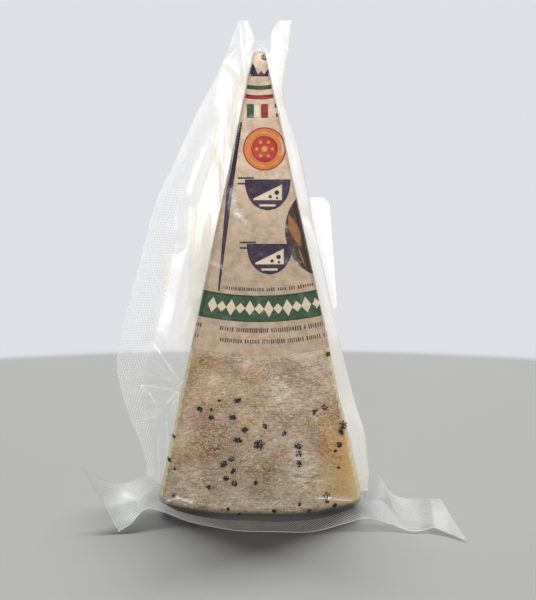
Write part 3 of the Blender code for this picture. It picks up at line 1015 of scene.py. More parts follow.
    def build_body(self) -> None:
        """Build the wedge with its relief and the values that its finish reads."""
        spots, quads, normals = remeshed(*FORM.solid(self.inset), self.voxel)
        mm = spots / MM
        places = mm[:, [0, 2]]
        front = smooth_step(0.35, 0.85, -normals[:, 1])
        elsewhere = 1 - front
        flank = np.zeros(len(spots))
        for side in (-1, 1):
            angle = math.atan(FORM.slope(side))
            outward = np.array([side * math.cos(angle), 0.0, math.sin(angle)])
            flank = np.maximum(flank, smooth_step(0.42, 0.72, normals @ outward))
        radius = np.hypot(mm[:, 0], FORM.apex_z / MM - mm[:, 2])
        paper_end = self.label_radius_mm
        papered = front * smooth_step(paper_end + 0.3, paper_end - 0.5, radius)
        rind_mm = np.minimum(FORM.wheel_height / MM / 2 - np.abs(mm[:, 1]),
                             FORM.wheel_radius / MM - radius)
        fine, drift = (np.array([noise_at(p, wide, shift) + share * noise_at(p, 0.0011, 5.2)
                                 for p in spots])
                       for wide, shift, share in ((0.0022, 1.7, 0.6), (0.022, 12.0, 0.0)))
        crack_gap = np.min([to_segment(places, start, end)
                            for start, end in zip(self.crack, self.crack[1:])], axis=0)
        open_rind = (1 - papered) * (1 - flank)
        moved = (0.05 * fine - 0.03) * open_rind - 0.35 * front * np.exp(-(crack_gap / 0.45) ** 2)
        moved = FORM.relief_of(spots, front) + moved * MM - self.eyes(spots) * flank
        spots = spots + normals * moved[:, None]
        spots[:, 2] = np.maximum(spots[:, 2], self.inset * 0.6)
        halo = np.zeros(len(spots))
        for x, z, size, strength in self.mould:
            gap = np.hypot(mm[:, 0] - x, mm[:, 2] - z)
            halo = np.maximum(halo, strength * np.exp(-(gap / (size * 1.25)) ** 2))
        stains, blooms_and_lit_heel, bare, rubbed_and_lit_edge, rust = (
            np.clip(sum(blot.over(places) for blot in blots), 0.0, 1.0) * front
            for blots in (self.stains, self.blooms_and_lit_heel, self.bare, self.rubbed_and_lit_edge, self.rust))
        blooms_and_lit_heel += elsewhere * smooth_step(0.10, 0.50, -drift) * 0.6
        values = {
            "paste": flank, "rind_mm": rind_mm, "halo": halo * front, "bare": bare,
            "rubbed_and_lit_edge": rubbed_and_lit_edge, "rust": rust,
            "stain": stains + elsewhere * smooth_step(0.15, 0.55, drift) * 0.7,
            "bloom_and_lit_heel": np.clip(blooms_and_lit_heel + 0.8 * np.exp(-(crack_gap / 1.6) ** 2) * front, 0, 1),
            "heel": smooth_step(0.4, 0.8, -normals[:, 2]), "low": smooth_step(34.0, 2.0, mm[:, 2]),
            "grainy": open_rind * (1 - 0.75 * rubbed_and_lit_edge) * (1 - 0.55 * bare),
        }
        piece = make_piece("cheese_wedge", spots, quads, [self.finish.material()], values)
        LOG.info("cheese_wedge: %d quads", len(quads))
        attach(piece, "root")
        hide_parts("vacuum_pack")

    def eyes(self, spots: np.ndarray) -> np.ndarray:
        """Give the depth of the small round eyes that a cut opens in the paste.

        Args:
            spots: The places on the cheese.

        Returns:
            The depth at each place.
        """
        depth = np.zeros(len(spots))
        draw = np.random.default_rng(11)
        for _ in range(46):
            side = draw.choice((-1, 1))
            height = draw.uniform(0.012, 0.125)
            centre = np.array(FORM.side_point(int(side), height, draw.uniform(-0.030, 0.030)))
            size = draw.uniform(0.8, 1.9) * MM
            gap = np.linalg.norm((spots - centre) * (1.0, 1.0, draw.uniform(0.7, 1.3)), axis=1)
            depth = np.maximum(depth, 0.7 * size * np.sqrt(np.clip(1 - (gap / size) ** 2, 0, None)))
        return depth

    def build_mould(self) -> None:
        """Build the dark specks of mould, each a rosette of small grains."""
        draw = np.random.default_rng(5)
        guides, sizes = [], []
        for x, z, size, strength in self.mould:
            lean, slim = draw.uniform(0.0, math.pi), draw.uniform(0.62, 0.95)
            for _ in range(int(54 * size * strength) + 6):
                reach = 1.15 * size * math.sqrt(draw.uniform(0.0, 1.0)) * draw.uniform(0.7, 1.12)
                turn = draw.uniform(0.0, 2 * math.pi)
                long, short = reach * math.cos(turn), reach * slim * math.sin(turn)
                across = x + long * math.cos(lean) - short * math.sin(lean)
                up = z + long * math.sin(lean) + short * math.cos(lean)
                guides.append(FORM.front_point(across * MM, up * MM, self.inset))
                width = draw.uniform(0.25, 0.62) * MM
                sizes.append((width, width * draw.uniform(0.6, 1.0), 0.16 * MM))
        angles = draw.uniform(0, 2 * math.pi, len(guides))
        turns = turns_of([(math.cos(angle), 0.0, math.sin(angle)) for angle in angles],
                         [FRONT] * len(guides))
        felted = InkFinish("dark_mould", "#1B1A18", "#454340", 0.5, 0.85)
        piece = repeat_on("mould_specks", np.array(guides), turns, np.array(sizes), Grain.CRUMB,
                          felted.material(), seed=7, jitter=0.25)
        LOG.info("mould_specks: %d grains", len(guides))
        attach(piece, "root")


# ------------------------------------------------------------------------------ the face label
@dataclass
class FaceLabel:
    """The sector of the wheel's round paper label, with a plain print of bands and discs."""

    level: float = 0.00026
    ink_level: float = 0.00020
    paper_mm: float = 0.08
    outer_mm: float = 106.0
    inner_mm: float = 8.5
    side_gap_mm: float = 0.15
    # Painted light: the paper runs lighter towards the top and is lightest at the tip, where the
    # light from above falls strongest.
    paper: PaperFinish = field(default_factory=lambda: PaperFinish(
        "damp_greaseproof_paper", "#E0C5A9", "#BFA98F", 90.0, 116.0, "#8E7659", 0.55,
        tip="#FBE6CB"))

    @property
    def apex_mm(self) -> float:
        """The height of the wheel's middle in millimetres."""
        return FORM.apex_z / MM

    def edge_x(self, side: int, height: float) -> float:
        """How far the paper reaches to one side at a height, in millimetres.

        Args:
            side: The side, -1 for the left and +1 for the right.
            height: The height.

        Returns:
            The place across, negative on the left.
        """
        reach = FORM.half_width(side, height * MM) / MM - self.side_gap_mm
        above = height - FORM.tip_centre / MM
        if above > 0:
            round_mm = FORM.tip_radius / MM - self.side_gap_mm
            reach = min(reach, math.sqrt(max(round_mm ** 2 - above ** 2, 0.01)))
        return side * reach

    def on_face(self, x: float, z: float, level: float) -> np.ndarray:
        """A point of the face in metres, for a place in millimetres that is kept on the paper."""
        x = min(max(x, self.edge_x(-1, z)), self.edge_x(1, z))
        return FORM.front_point(x * MM, z * MM, level)

    def build_paper(self) -> None:
        """Build the sheet of paper."""
        rows, columns = 200, 60
        grid = np.zeros((rows, columns, 3))
        for row in range(rows):
            radius = self.inner_mm + (self.outer_mm - self.inner_mm) * row / (rows - 1)
            for column in range(columns):
                share = 2 * column / (columns - 1) - 1
                side = -1 if share < 0 else 1
                reach = FORM.half_angle + side * FORM.lean - math.asin(self.side_gap_mm / radius)
                frayed = 0.25 * noise.noise(Vector((share * 9, 3.0, 1.0))) * (row == rows - 1)
                grid[row, column] = self.on_face((radius + frayed) * math.sin(share * reach),
                                                 self.apex_mm - (radius + frayed)
                                                 * math.cos(share * reach), self.level)
        points, faces = shell_of(grid, self.paper_mm * MM, FRONT)
        piece = make_piece("face_label", points, faces, [self.paper.material()])
        LOG.info("face_label: %d quads", len(faces))
        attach(piece, "root")
        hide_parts("vacuum_pack")

    def patch(self, place: Callable[[float, float], Place], rows: int, columns: int,
              raised: float = 0.0) -> np.ndarray:
        """Lay a grid of places of the front view on the label.

        Args:
            place: Gives the place for a share of the rows and a share of the columns.
            rows: Its steps one way.
            columns: Its steps the other way.
            raised: How far it lies over the first print.

        Returns:
            The grid of points.
        """
        grid = np.zeros((rows + 1, columns + 1, 3))
        for row, column in np.ndindex(rows + 1, columns + 1):
            grid[row, column] = self.on_face(*place(row / rows, column / columns),
                                             self.ink_level - raised)
        return grid

    def band(self, near: float, far: float) -> np.ndarray:
        """A band along an arc about the wheel's middle, from side to side.

        Args:
            near: Its smaller radius.
            far: Its larger radius.

        Returns:
            The grid of points.
        """
        slack = math.asin(self.side_gap_mm / near)
        low = -FORM.half_angle + FORM.lean + slack
        high = FORM.half_angle + FORM.lean - slack

        def place(share: float, along: float) -> Place:
            """Give a place of the band."""
            radius, angle = near + (far - near) * share, low + (high - low) * along
            return radius * math.sin(angle), self.apex_mm - radius * math.cos(angle)

        return self.patch(place, max(2, int((far - near) / 0.8)),
                          max(24, int((high - low) * far * 2.5)))

    def box(self, left: float, right: float, low: float, high: float,
            raised: float = 0.0) -> np.ndarray:
        """An upright rectangle."""
        return self.patch(lambda share, along: (left + (right - left) * along,
                                                high + (low - high) * share),
                          max(2, int(high - low)), max(2, int(right - left)), raised)

    def disc(self, x: float, z: float, outer: float, inner: float = 0.0, squash: float = 1.0,
             raised: float = 0.0) -> np.ndarray:
        """A disc or a ring.

        Args:
            x: Its middle, across.
            z: Its middle, in height.
            outer: Its radius.
            inner: The radius of its hole.
            squash: Its height against its width.
            raised: How far it lies over the first print.

        Returns:
            The grid of points.
        """
        def place(share: float, along: float) -> Place:
            """Give a place of the disc."""
            radius = outer + (max(inner, 0.02) - outer) * share
            angle = -2 * math.pi * along
            return x + radius * math.cos(angle), z + radius * squash * math.sin(angle)

        return self.patch(place, max(2, int(outer - inner)), 48, raised)

    def build_print(self) -> None:
        """Build the printed fields of colour, one piece for each ink."""
        badge, middle, over, top_coat = (1.7, 119.7), ((2.7, 110.0), (3.3, 89.4)), 0.00005, 0.00009
        # The tip: a small purple cap and a row of peaks.
        peaks = [self.patch(lambda share, along, x=x, half=half, top=top: (
            x + (2 * along - 1) * half * share, top + (142.6 - top) * share), 6, 6)
            for x, half, top in ((-2.0, 1.9, 146.9), (0.6, 1.5, 144.4), (2.9, 1.7, 145.2))]
        # The long tapering stripe on the left.
        stripe = self.patch(lambda share, along: (
            float(np.interp(128.2 - 53.9 * share, (74.3, 108.0, 128.2), (-13.3, -10.3, -6.9)))
            * (1 - along)
            + float(np.interp(128.2 - 53.9 * share, (74.3, 108.0, 128.2), (-12.8, -8.3, -5.4)))
            * along, 128.2 - 53.9 * share), 60, 3)
        # Two badges in the middle: a purple bowl under a thin rule, with a pale slice in it.
        bowls, slices, holes = [], [], []
        for x, top in middle:
            bowls += [self.patch(lambda share, along, x=x, top=top: (
                x + 7.3 * (2 * along - 1) * math.sqrt(max(1 - share ** 2.2, 0.0)),
                top - 9.9 * share), 22, 26),
                self.box(x - 9.6, x - 4.4, top + 0.2, top + 0.7),
                self.box(x - 9.6, x - 6.6, top - 1.6, top - 1.1)]
            slices += [self.patch(lambda share, along, x=x, top=top: (
                x - 4.6 + 9.2 * along, top - 6.6 + (0.5 + 4.6 * along) * (1 - share)), 6, 14, over),
                self.box(x - 2.6, x + 2.6, top - 8.6, top - 7.9, over)]
            holes += [self.disc(x + dx, top + dz, size, raised=top_coat)
                      for dx, dz, size in ((2.9, -4.2, 0.75), (0.8, -5.5, 0.55), (3.0, -5.9, 0.4))]
        # The dots of the round badge, and two leaning leaf shapes and a stalk on the brown round.
        dots = [self.disc(badge[0] + 2.5 * math.cos(turn), badge[1] + 2.5 * math.sin(turn), 0.5,
                          raised=over) for turn in np.linspace(0.0, 2 * math.pi, 7)[:-1]]
        leaves = [self.patch(lambda share, along, x=x, top=top, long=long, wide=wide: (
            x + 0.36 * long * share + wide * math.sin(math.pi * share) * (2 * along - 1),
            top - long * share), 16, 4, over)
            for x, top, long, wide in ((9.4, 99.0, 10.5, 1.7), (12.4, 103.4, 5.5, 0.9),
                                       (12.4, 88.5, 6.5, 0.4))]
        # Narrow and broad bands, a row of three colour blocks, and the rings of the round badge.
        for ink, shapes in (
                (InkFinish("purple_ink", "#2C1B36", "#645060", 0.35),
                 [self.disc(2.0, 148.6, 1.5, 0.0, 0.6), *peaks, stripe, *bowls,
                  self.box(4.9, 5.6, 132.7, 133.9), self.box(5.4, 6.2, 129.9, 130.9)]),
                (InkFinish("green_ink", "#27462D", "#58694C", 0.45),
                 [self.band(19.6, 20.9), self.band(86.6, 95.2),
                  self.box(-3.9, -1.7, 129.5, 133.9)]),
                (InkFinish("red_ink", "#8C1820", "#AC5048", 0.4),
                 [self.band(22.6, 23.9), self.box(0.6, 2.8, 129.5, 133.9)]),
                (InkFinish("cream_ink", "#E2D2BA", "#CDB99A"), [self.box(-1.6, 0.5, 129.5, 133.9)]),
                (InkFinish("orange_ink", "#CE7A2C", "#DAA060", 0.45),
                 [self.disc(*badge, 6.3, 4.4)]),
                (InkFinish("scarlet_ink", "#AC281E", "#C4654C", 0.4),
                 [self.disc(*badge, 6.9, 6.4), self.disc(*badge, 4.3)]),
                (InkFinish("brown_ink", "#33241A", "#654833", 0.45), [self.clipped_round()]),
                (InkFinish("cream_overprint", "#D9C6AC", "#B9A893", 0.4), slices),
                (InkFinish("purple_overprint", "#2C1B36", "#645060", 0.35), holes),
                (InkFinish("gold_overprint", "#D39B4A", "#C98A50", 0.4),
                 [self.disc(*badge, 1.0, raised=over), *dots]),
                (InkFinish("amber_ink", "#8A5A34", "#A97A4E", 0.5), leaves)):
            self.ink_piece(ink, shapes)
        self.build_ornament()

    def clipped_round(self) -> np.ndarray:
        """The part of the tall brown round that lies on the paper, left of the right edge.

        Returns:
            The grid of points.
        """
        def place(share: float, along: float) -> Place:
            """Give a place of the round."""
            angle, radius = math.pi * (0.62 + 0.90 * along), 14.0 - 11.0 * share
            return 22.3 + radius * math.cos(angle), 93.8 + 1.09 * radius * math.sin(angle)

        return self.patch(place, 36, 90)

    def ink_piece(self, ink: InkFinish, shapes: Sequence[np.ndarray]) -> None:
        """Join printed shapes of one ink into a thin closed piece.

        Args:
            ink: The ink.
            shapes: The grids of points.
        """
        points, faces, start = [], [], 0
        for grid in shapes:
            some, quads = shell_of(grid, 0.00003, FRONT)
            points.append(some)
            faces.append(quads + start)
            start += len(some)
        piece = make_piece("label_" + ink.name, np.vstack(points), np.vstack(faces),
                           [ink.material()])
        LOG.info("%s: %d shapes", piece.name, len(shapes))
        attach(piece, "root")

    def build_ornament(self) -> None:
        """Build the pale lozenges on the green band, and the rows of dashes above and below it."""
        lozenges, dashes = Marks(), Marks()
        for step in range(-6, 7):
            turn, radius = step * 0.0335, 90.9
            x, z = radius * math.sin(turn), self.apex_mm - radius * math.cos(turn)
            if self.edge_x(-1, z) + 1.6 < x < self.edge_x(1, z) - 1.2:
                lozenges.add(FORM.front_point(x * MM, z * MM, self.ink_level - 0.00002),
                             (math.cos(turn), 0.0, math.sin(turn)), FRONT,
                             (3.2 * MM, 5.4 * MM if step % 2 else 3.6 * MM, 0.00006))
        draw = np.random.default_rng(3)
        for radius, left, right, tall in ((84.7, -11.8, 17.2, 1.5), (97.9, -12.7, 21.6, 2.0),
                                          (101.6, -12.7, 21.6, 2.0), (97.9, -20.4, -18.9, 1.8),
                                          (101.6, -20.8, -19.1, 1.8)):
            x = left
            while x < right:
                wide = draw.uniform(0.26, 0.46)
                turn = math.asin((x + wide / 2) / radius)
                z = self.apex_mm - radius * math.cos(turn)
                dashes.add(FORM.front_point((x + wide / 2) * MM, z * MM, self.ink_level),
                           (math.cos(turn), 0.0, math.sin(turn)), FRONT,
                           (wide * MM, tall * draw.uniform(0.62, 1.0) * MM, 0.00006))
                x += wide + (1.05 if draw.uniform(0, 1) < 0.14 else draw.uniform(0.26, 0.46))
        for marks, name, grain, ink in (
                (lozenges, "label_lozenges", Grain.LOZENGE,
                 InkFinish("cream_lozenge_ink", "#CFC0A2", "#A8A088", 0.4)),
                (dashes, "label_dashes", Grain.BAR,
                 InkFinish("dark_dash_ink", "#2E2426", "#6A5648", 0.35))):
            piece = marks.build(name, grain, ink.material())
            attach(piece, "root")


# ------------------------------------------------------------------------------ the pouch
@dataclass(frozen=True)
class Fold:
    """A crease of the film in the front view, in millimetres: its ends, rise, width and milk; the
    milk also paints the crease's highlight.
    """

    start: Place
    end: Place
    rise: float
    wide: float
    milk_and_highlight: float


@dataclass(frozen=True)
class Veil:
    """A soft streak of milky film in the front view, in millimetres, mostly a painted highlight and
    glow; its warm share is a painted reflection of the cheese.
    """

    start: Place
    end: Place
    wide: float
    milk_and_highlight: float
    cheese_reflection: float = 0.0

    def over(self, places: np.ndarray) -> np.ndarray:
        """Give the share of the streak at each place of the front view."""
        return np.exp(-(to_segment(places, self.start, self.end) / self.wide) ** 2)


@dataclass
class FilmSheet:
    """One free sheet of the pouch, spanned between rails in millimetres and creased along folds."""

    name: str
    rails: Sequence[Sequence[Point]]
    stations: int
    rows: Sequence[int]
    strip_milk: Sequence[float]
    folds: Sequence[Fold] = ()
    patches: Sequence[Blot] = ()
    veils: Sequence[Veil] = ()
    grain: Point = (1.0, 1.0, 0.30)
    rim_milk: float = 0.12
    facing: Point = FRONT
    thickness: float = 0.00022
    ripple: float = 0.0004
    easing: int = 40
    grid: np.ndarray = field(default_factory=lambda: np.zeros((0, 0, 3)))

    def normals(self) -> np.ndarray:
        """The unit normal at each point of the sheet, on the side that faces the viewer."""
        normal = grid_normals(self.grid)
        return normal * np.sign((normal * self.facing).sum(axis=-1, keepdims=True) + 1e-9)

    def stations_every(self, pitch: float) -> list[int]:
        """Find the stations that lie about a pitch apart along the free edge.

        Args:
            pitch: The pitch, in metres.

        Returns:
            The numbers of the stations.
        """
        found, run = [], 0.0
        for station in range(1, self.stations):
            run += float(np.linalg.norm(self.grid[-1, station] - self.grid[-1, station - 1]))
            if run >= pitch:
                found.append(station)
                run = 0.0
        return found

    def span(self) -> tuple[np.ndarray, np.ndarray]:
        """Span the sheet, and crease and ripple it.

        Returns:
            How milky it is at each point, painted highlights and glow included, and how strongly
            the cheese's reflection is painted on it.
        """
        lines = [smooth_curve(rail, self.stations) * MM for rail in self.rails]
        rows, milk_and_highlight = [], []
        last = len(lines) - 2
        for strip, (near, far) in enumerate(zip(lines, lines[1:])):
            steps = self.rows[strip]
            for step in range(steps + (strip == last)):
                share = step / steps
                rows.append(near * (1 - share) + far * share)
                milk_and_highlight.append(float(np.interp(share, (0, 1), self.strip_milk[strip:strip + 2])))
        self.grid = np.array(rows)
        for _ in range(self.easing):
            self.grid[1:-1] = 0.25 * self.grid[:-2] + 0.5 * self.grid[1:-1] + 0.25 * self.grid[2:]
        places = self.grid[..., [0, 2]] / MM
        rise, cheese_reflection = np.zeros((2, *places.shape[:2]))
        haze = np.tile(np.array(milk_and_highlight)[:, None], (1, self.stations))
        for fold in self.folds:
            gap = to_segment(places, fold.start, fold.end)
            rise += fold.rise * np.clip(1 - gap / fold.wide, 0, None)
            middle = (np.array(fold.start) + np.array(fold.end)) / 2
            half = math.dist(fold.start, fold.end) / 2
            taper = 1 - 0.75 * np.clip(np.linalg.norm(places - middle, axis=-1) / half, 0, 1) ** 2
            haze += fold.milk_and_highlight * taper * np.exp(-(gap / 0.30) ** 2)
        for veil in self.veils:
            haze += veil.milk_and_highlight * veil.over(places)
            cheese_reflection = np.maximum(cheese_reflection, veil.cheese_reflection * veil.over(places))
        for patch in self.patches:
            haze += patch.over(places)
        lumps = np.array([[noise_at(p, 0.011, 2.0) + 0.4 * noise_at(p, 0.004, 9.0) for p in row]
                          for row in self.grid * self.grain])
        fade = np.minimum(np.arange(len(rows)) / 5.0, 1.0)[:, None]
        self.grid += self.normals() * ((rise * MM + self.ripple * lumps) * fade)[..., None]
        rim = np.linalg.norm(self.grid - self.grid[-1:], axis=-1) / MM
        return np.clip(haze + self.rim_milk * np.exp(-(rim / 0.30) ** 2), 0, 1), cheese_reflection

    def build(self, material: bpy.types.Material) -> None:
        """Build the sheet as a thin closed shell.

        Args:
            material: The film that it is made of.
        """
        milk_and_highlight, cheese_reflection = self.span()
        points, faces = shell_of(self.grid, self.thickness, self.facing)
        piece = make_piece(self.name, points, faces, [material],
                           {"milk_and_highlight": np.tile(milk_and_highlight.ravel(), 2), "cheese_reflection": np.tile(cheese_reflection.ravel(), 2)})
        LOG.info("%s: %d quads", self.name, len(faces))
        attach(piece, "root")
        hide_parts("vacuum_pack")


@dataclass
class Pouch:
    """The clear pouch: the skin on the cheese, and its free sheets with their rails."""

    root_depth: float = 0.0030
    pressed_milk: float = 0.20
    left_rib_milk: float = 0.24
    right_rib_milk: float = 0.15
    strip_rib_milk: float = 0.45
    skin_voxel: float = 0.00066
    emboss_pitch_mm: float = 0.80
    emboss_step_mm: float = 0.92
    emboss_low: float = 0.010
    emboss_high: float = 0.106
    rib_pitch_mm: float = 0.78
    fin_reach_mm: float = 16.0
    fin_end_share: float = 0.35
    fin_lean: float = 0.25
    wing_root: Sequence[Place] = (
        (5.5, -27.0), (30.0, -14.0), (60.0, -2.0), (100.0, 7.0), (146.0, 8.0))
    fin_root: Sequence[Place] = (
        (6.0, -27.0), (30.0, -12.0), (60.0, 0.0), (100.0, 7.0), (146.0, 8.0))
    left_ear: Sequence[Point] = (
        (-3.0, 8.0, 153.0), (-2.0, 8.0, 157.3), (-4.4, 8.0, 163.5))
    right_ear: Sequence[Point] = (
        (3.8, 8.0, 153.0), (4.2, 8.0, 159.4), (6.6, 8.0, 163.2))
    wing_crease: Sequence[Point] = (
        (-34.0, -27.0, 7.5), (-37.5, -12.0, 27.4), (-40.0, -6.0, 38.7), (-37.0, -2.0, 52.9),
        (-33.0, 2.0, 67.1), (-28.9, 6.0, 82.1), (-27.8, 9.0, 99.7), (-17.4, 10.0, 125.8),
        (-8.3, 9.0, 149.2), (-6.0, 8.0, 163.4))
    wing_edge: Sequence[Point] = (
        (-37.6, -27.5, 9.8), (-38.3, -20.0, 14.7), (-41.5, -13.0, 21.7), (-46.8, -6.0, 33.3),
        (-49.6, -1.0, 44.7), (-48.5, 3.0, 54.7), (-42.1, 9.0, 79.7), (-36.1, 13.0, 101.3),
        (-28.0, 13.0, 118.8), (-21.9, 11.5, 132.0), (-13.2, 10.0, 147.9), (-7.5, 8.0, 163.0))
    fin_fold: Sequence[Point] = (
        (36.1, -29.0, 7.0), (36.8, -22.0, 13.2), (36.3, -12.0, 24.3), (32.5, -4.0, 35.7),
        (27.2, 3.0, 58.9), (20.3, 8.0, 87.5), (17.8, 9.0, 101.5), (14.3, 9.0, 118.9),
        (8.5, 9.0, 137.8), (10.4, 8.0, 154.9), (11.2, 8.0, 163.4))
    seam_back: Sequence[Point] = (
        (-56.4, -49.0, 18.8), (-52.5, -47.0, 15.7), (-47.4, -44.0, 12.8), (-42.5, -36.0, 11.4),
        (-37.5, -25.8, 11.2), (-31.0, -27.0, 6.0), (-26.5, -28.5, 3.6), (-15.0, -33.0, 2.6),
        (0.0, -34.0, 2.0), (15.0, -34.0, 2.6), (29.0, -28.0, 5.8), (34.5, -26.0, 9.8),
        (39.1, -29.0, 12.3), (43.8, -35.0, 7.3), (49.4, -38.0, 6.6), (58.3, -44.0, 8.0))
    seam_rib_line: Sequence[Point] = (
        (-48.4, -55.3, 7.1), (-42.0, -52.0, 6.2), (-38.6, -48.0, 8.0), (-33.2, -40.5, 5.8),
        (-29.0, -41.2, 4.0), (-25.0, -42.2, 2.6), (-14.0, -45.5, 1.2), (0.0, -47.5, 0.9),
        (15.0, -47.0, 1.0), (27.0, -43.0, 2.8), (34.5, -42.0, 6.0), (39.5, -43.0, 6.4),
        (45.0, -46.0, 3.4), (53.5, -49.0, 4.0), (61.0, -57.0, 4.0))
    seam_free_edge: Sequence[Point] = (
        (-43.9, -58.8, 0.6), (-40.0, -56.5, 2.8), (-36.6, -52.0, 5.8), (-32.2, -49.3, 5.2),
        (-21.4, -50.2, 1.4), (-8.6, -56.8, 0.6), (5.0, -59.0, 0.6), (17.0, -58.6, 0.6),
        (27.0, -54.1, 2.0), (34.3, -53.4, 3.6), (40.4, -54.1, 2.2), (47.7, -58.0, 0.6),
        (55.4, -58.2, 1.0), (63.8, -69.0, 0.6))
    web_low: Sequence[Point] = (
        (-1.8, 2.0, 146.5), (0.4, 1.6, 146.5), (2.6, 2.0, 146.5))
    web_high: Sequence[Point] = (
        (-5.0, 3.6, 157.6), (0.4, 2.6, 156.0), (5.8, 3.6, 157.6))
    wing_folds: Sequence[Fold] = (
        Fold((-29.3, 86.6), (-36.6, 52.2), 0.9, 4.0, 0.40),
        Fold((-36.6, 52.2), (-27.5, 40.5), 1.0, 4.0, 0.22),
        Fold((-40.9, 38.5), (-28.5, 37.2), 1.0, 3.0, 0.30),
        Fold((-39.5, 38.2), (-34.1, 29.9), -0.9, 3.0, 0.26),
        Fold((-34.1, 29.9), (-28.5, 36.3), 0.8, 2.5, 0.24),
        Fold((-41.6, 27.4), (-32.0, 28.0), 0.9, 3.0, 0.30),
        Fold((-34.7, 27.4), (-33.2, 5.5), 0.6, 1.6, 0.32),
        Fold((-33.2, 27.4), (-31.5, 4.8), -0.5, 1.4, 0.24),
        Fold((-31.4, 31.0), (-30.7, 4.8), 0.5, 1.4, 0.45),
        Fold((-27.4, 34.0), (-29.4, 20.0), 0.4, 1.2, 0.45),
        Fold((-28.7, 101.5), (-29.3, 86.6), -0.8, 4.0, 0.12),
        Fold((-19.2, 118.8), (-24.5, 103.2), -0.6, 4.0, 0.10),
        Fold((-14.2, 147.1), (-6.9, 155.0), 0.4, 2.0, 0.16),
        Fold((-10.4, 148.2), (-4.1, 141.3), 0.5, 2.0, 0.22),
        Fold((-6.9, 161.8), (-4.9, 143.0), 0.6, 1.8, 0.40),
        Fold((-13.1, 149.9), (-16.0, 134.4), 0.6, 4.0, 0.12))
    pinch: Place = (-26.6, 38.6)
    pinch_turns: Sequence[tuple[float, float]] = (
        (128.0, 9.0), (141.0, 13.0), (152.0, 10.0), (163.0, 15.0), (196.0, 11.0), (207.0, 14.0),
        (219.0, 9.0), (231.0, 12.0), (244.0, 10.0), (254.0, 14.0))
    # Less milk low on the wing: a painted shade where the film near the floor gets less light.
    wing_painted_shade: Sequence[Blot] = (
        Blot(-33.0, 26.0, 7.0, 24.0, -0.32), Blot(-45.0, 34.0, 7.0, 22.0, -0.10))
    # Streaks of milk on the wing, partly real haze, mostly painted highlights and the painted glow
    # beside the cheese; their warm share is a painted reflection of the cheese.
    wing_haze_and_highlights: Sequence[Veil] = (
        Veil((-4.5, 146.0), (-13.5, 114.0), 5.0, 0.32, 0.35),
        Veil((-12.5, 118.0), (-20.5, 84.0), 4.6, 0.45, 0.45),
        Veil((-15.5, 100.0), (-22.0, 70.5), 2.8, 0.55, 0.35),
        Veil((-21.5, 76.0), (-26.0, 54.0), 2.8, 0.60, 0.30),
        Veil((-18.5, 84.0), (-21.6, 70.0), 1.8, 0.50, 0.50),
        Veil((-13.4, 147.6), (-27.6, 118.8), 2.2, 0.18),
        Veil((-27.6, 118.8), (-35.8, 101.3), 2.2, 0.18),
        Veil((-36.5, 97.0), (-44.0, 70.0), 2.5, 0.10),
        Veil((-29.6, 85.0), (-36.0, 53.5), 1.5, 0.50),
        Veil((-27.0, 82.0), (-33.5, 54.0), 2.5, 0.12),
        Veil((-10.0, 140.0), (-22.0, 104.0), 6.0, 0.12),
        Veil((-27.5, 40.0), (-31.5, 8.0), 1.2, 0.15, 0.6))
    # Creases of the tight film; the milk along them paints their glints, strongest at the heel's
    # corners.
    wrinkles_and_glints: Sequence[Fold] = (
        Fold((-27.0, 6.5), (-21.8, 4.8), 0.25, 1.2, 0.75),
        Fold((-31.0, 5.0), (-27.0, 6.5), 0.2, 1.2, 0.5),
        Fold((17.8, 6.5), (23.0, 6.0), 0.25, 1.2, 0.45),
        Fold((23.0, 6.0), (30.1, 5.4), 0.25, 1.2, 0.5),
        Fold((9.1, 57.3), (9.6, 44.3), 0.15, 0.8, 0.12),
        Fold((-17.7, 19.7), (-6.3, 19.4), 0.12, 0.8, 0.18),
        Fold((-20.5, 62.0), (-24.0, 52.0), 0.1, 0.8, 0.2))
    # Painted highlights on the film over the label, drawn as soft milk.
    glints: Sequence[Veil] = (
        Veil((-8.8, 106.5), (-7.2, 99.5), 1.1, 0.30), Veil((-7.0, 98.8), (-4.4, 96.6), 0.8, 0.30),
        Veil((-9.8, 103.0), (-9.0, 99.0), 0.8, 0.18),
        Veil((-15.2, 83.4), (-12.6, 82.2), 1.1, 0.30), Veil((8.6, 84.5), (11.4, 79.5), 0.8, 0.14),
        Veil((7.4, 98.5), (8.8, 93.5), 0.6, 0.14), Veil((-1.5, 92.4), (1.6, 90.8), 0.7, 0.16),
        Veil((13.2, 73.0), (16.6, 66.0), 0.7, 0.14), Veil((-20.0, 65.5), (-4.0, 62.5), 1.0, 0.10),
        Veil((10.4, 88.0), (12.9, 82.0), 0.7, 0.14), Veil((-1.0, 74.0), (1.2, 66.5), 0.7, 0.12),
        Veil((-20.0, 57.5), (24.0, 56.8), 1.4, 0.06),
        Veil((-11.2, 116.0), (-20.6, 73.0), 0.9, 0.10),
        Veil((-2.0, 130.0), (-6.0, 126.0), 1.0, 0.12), Veil((4.5, 113.0), (7.0, 110.5), 0.8, 0.18))
    film: FilmFinish = FilmFinish()

    def root_of(self, side: int, places: Sequence[Place], ear: Sequence[Point]) -> list[Point]:
        """Follow the film's root up a cut side and out along its ear.

        Args:
            side: The side, -1 for the left and +1 for the right.
            places: The height and depth of each point on the cut side.
            ear: The points of the ear.

        Returns:
            The points of the root.
        """
        insets = [self.root_depth] * (len(places) - 1) + [self.root_depth / 2]
        root = [FORM.side_point(side, height * MM, depth * MM, inset)
                for (height, depth), inset in zip(places, insets)]
        return [*(np.array(root) / MM), *ear]

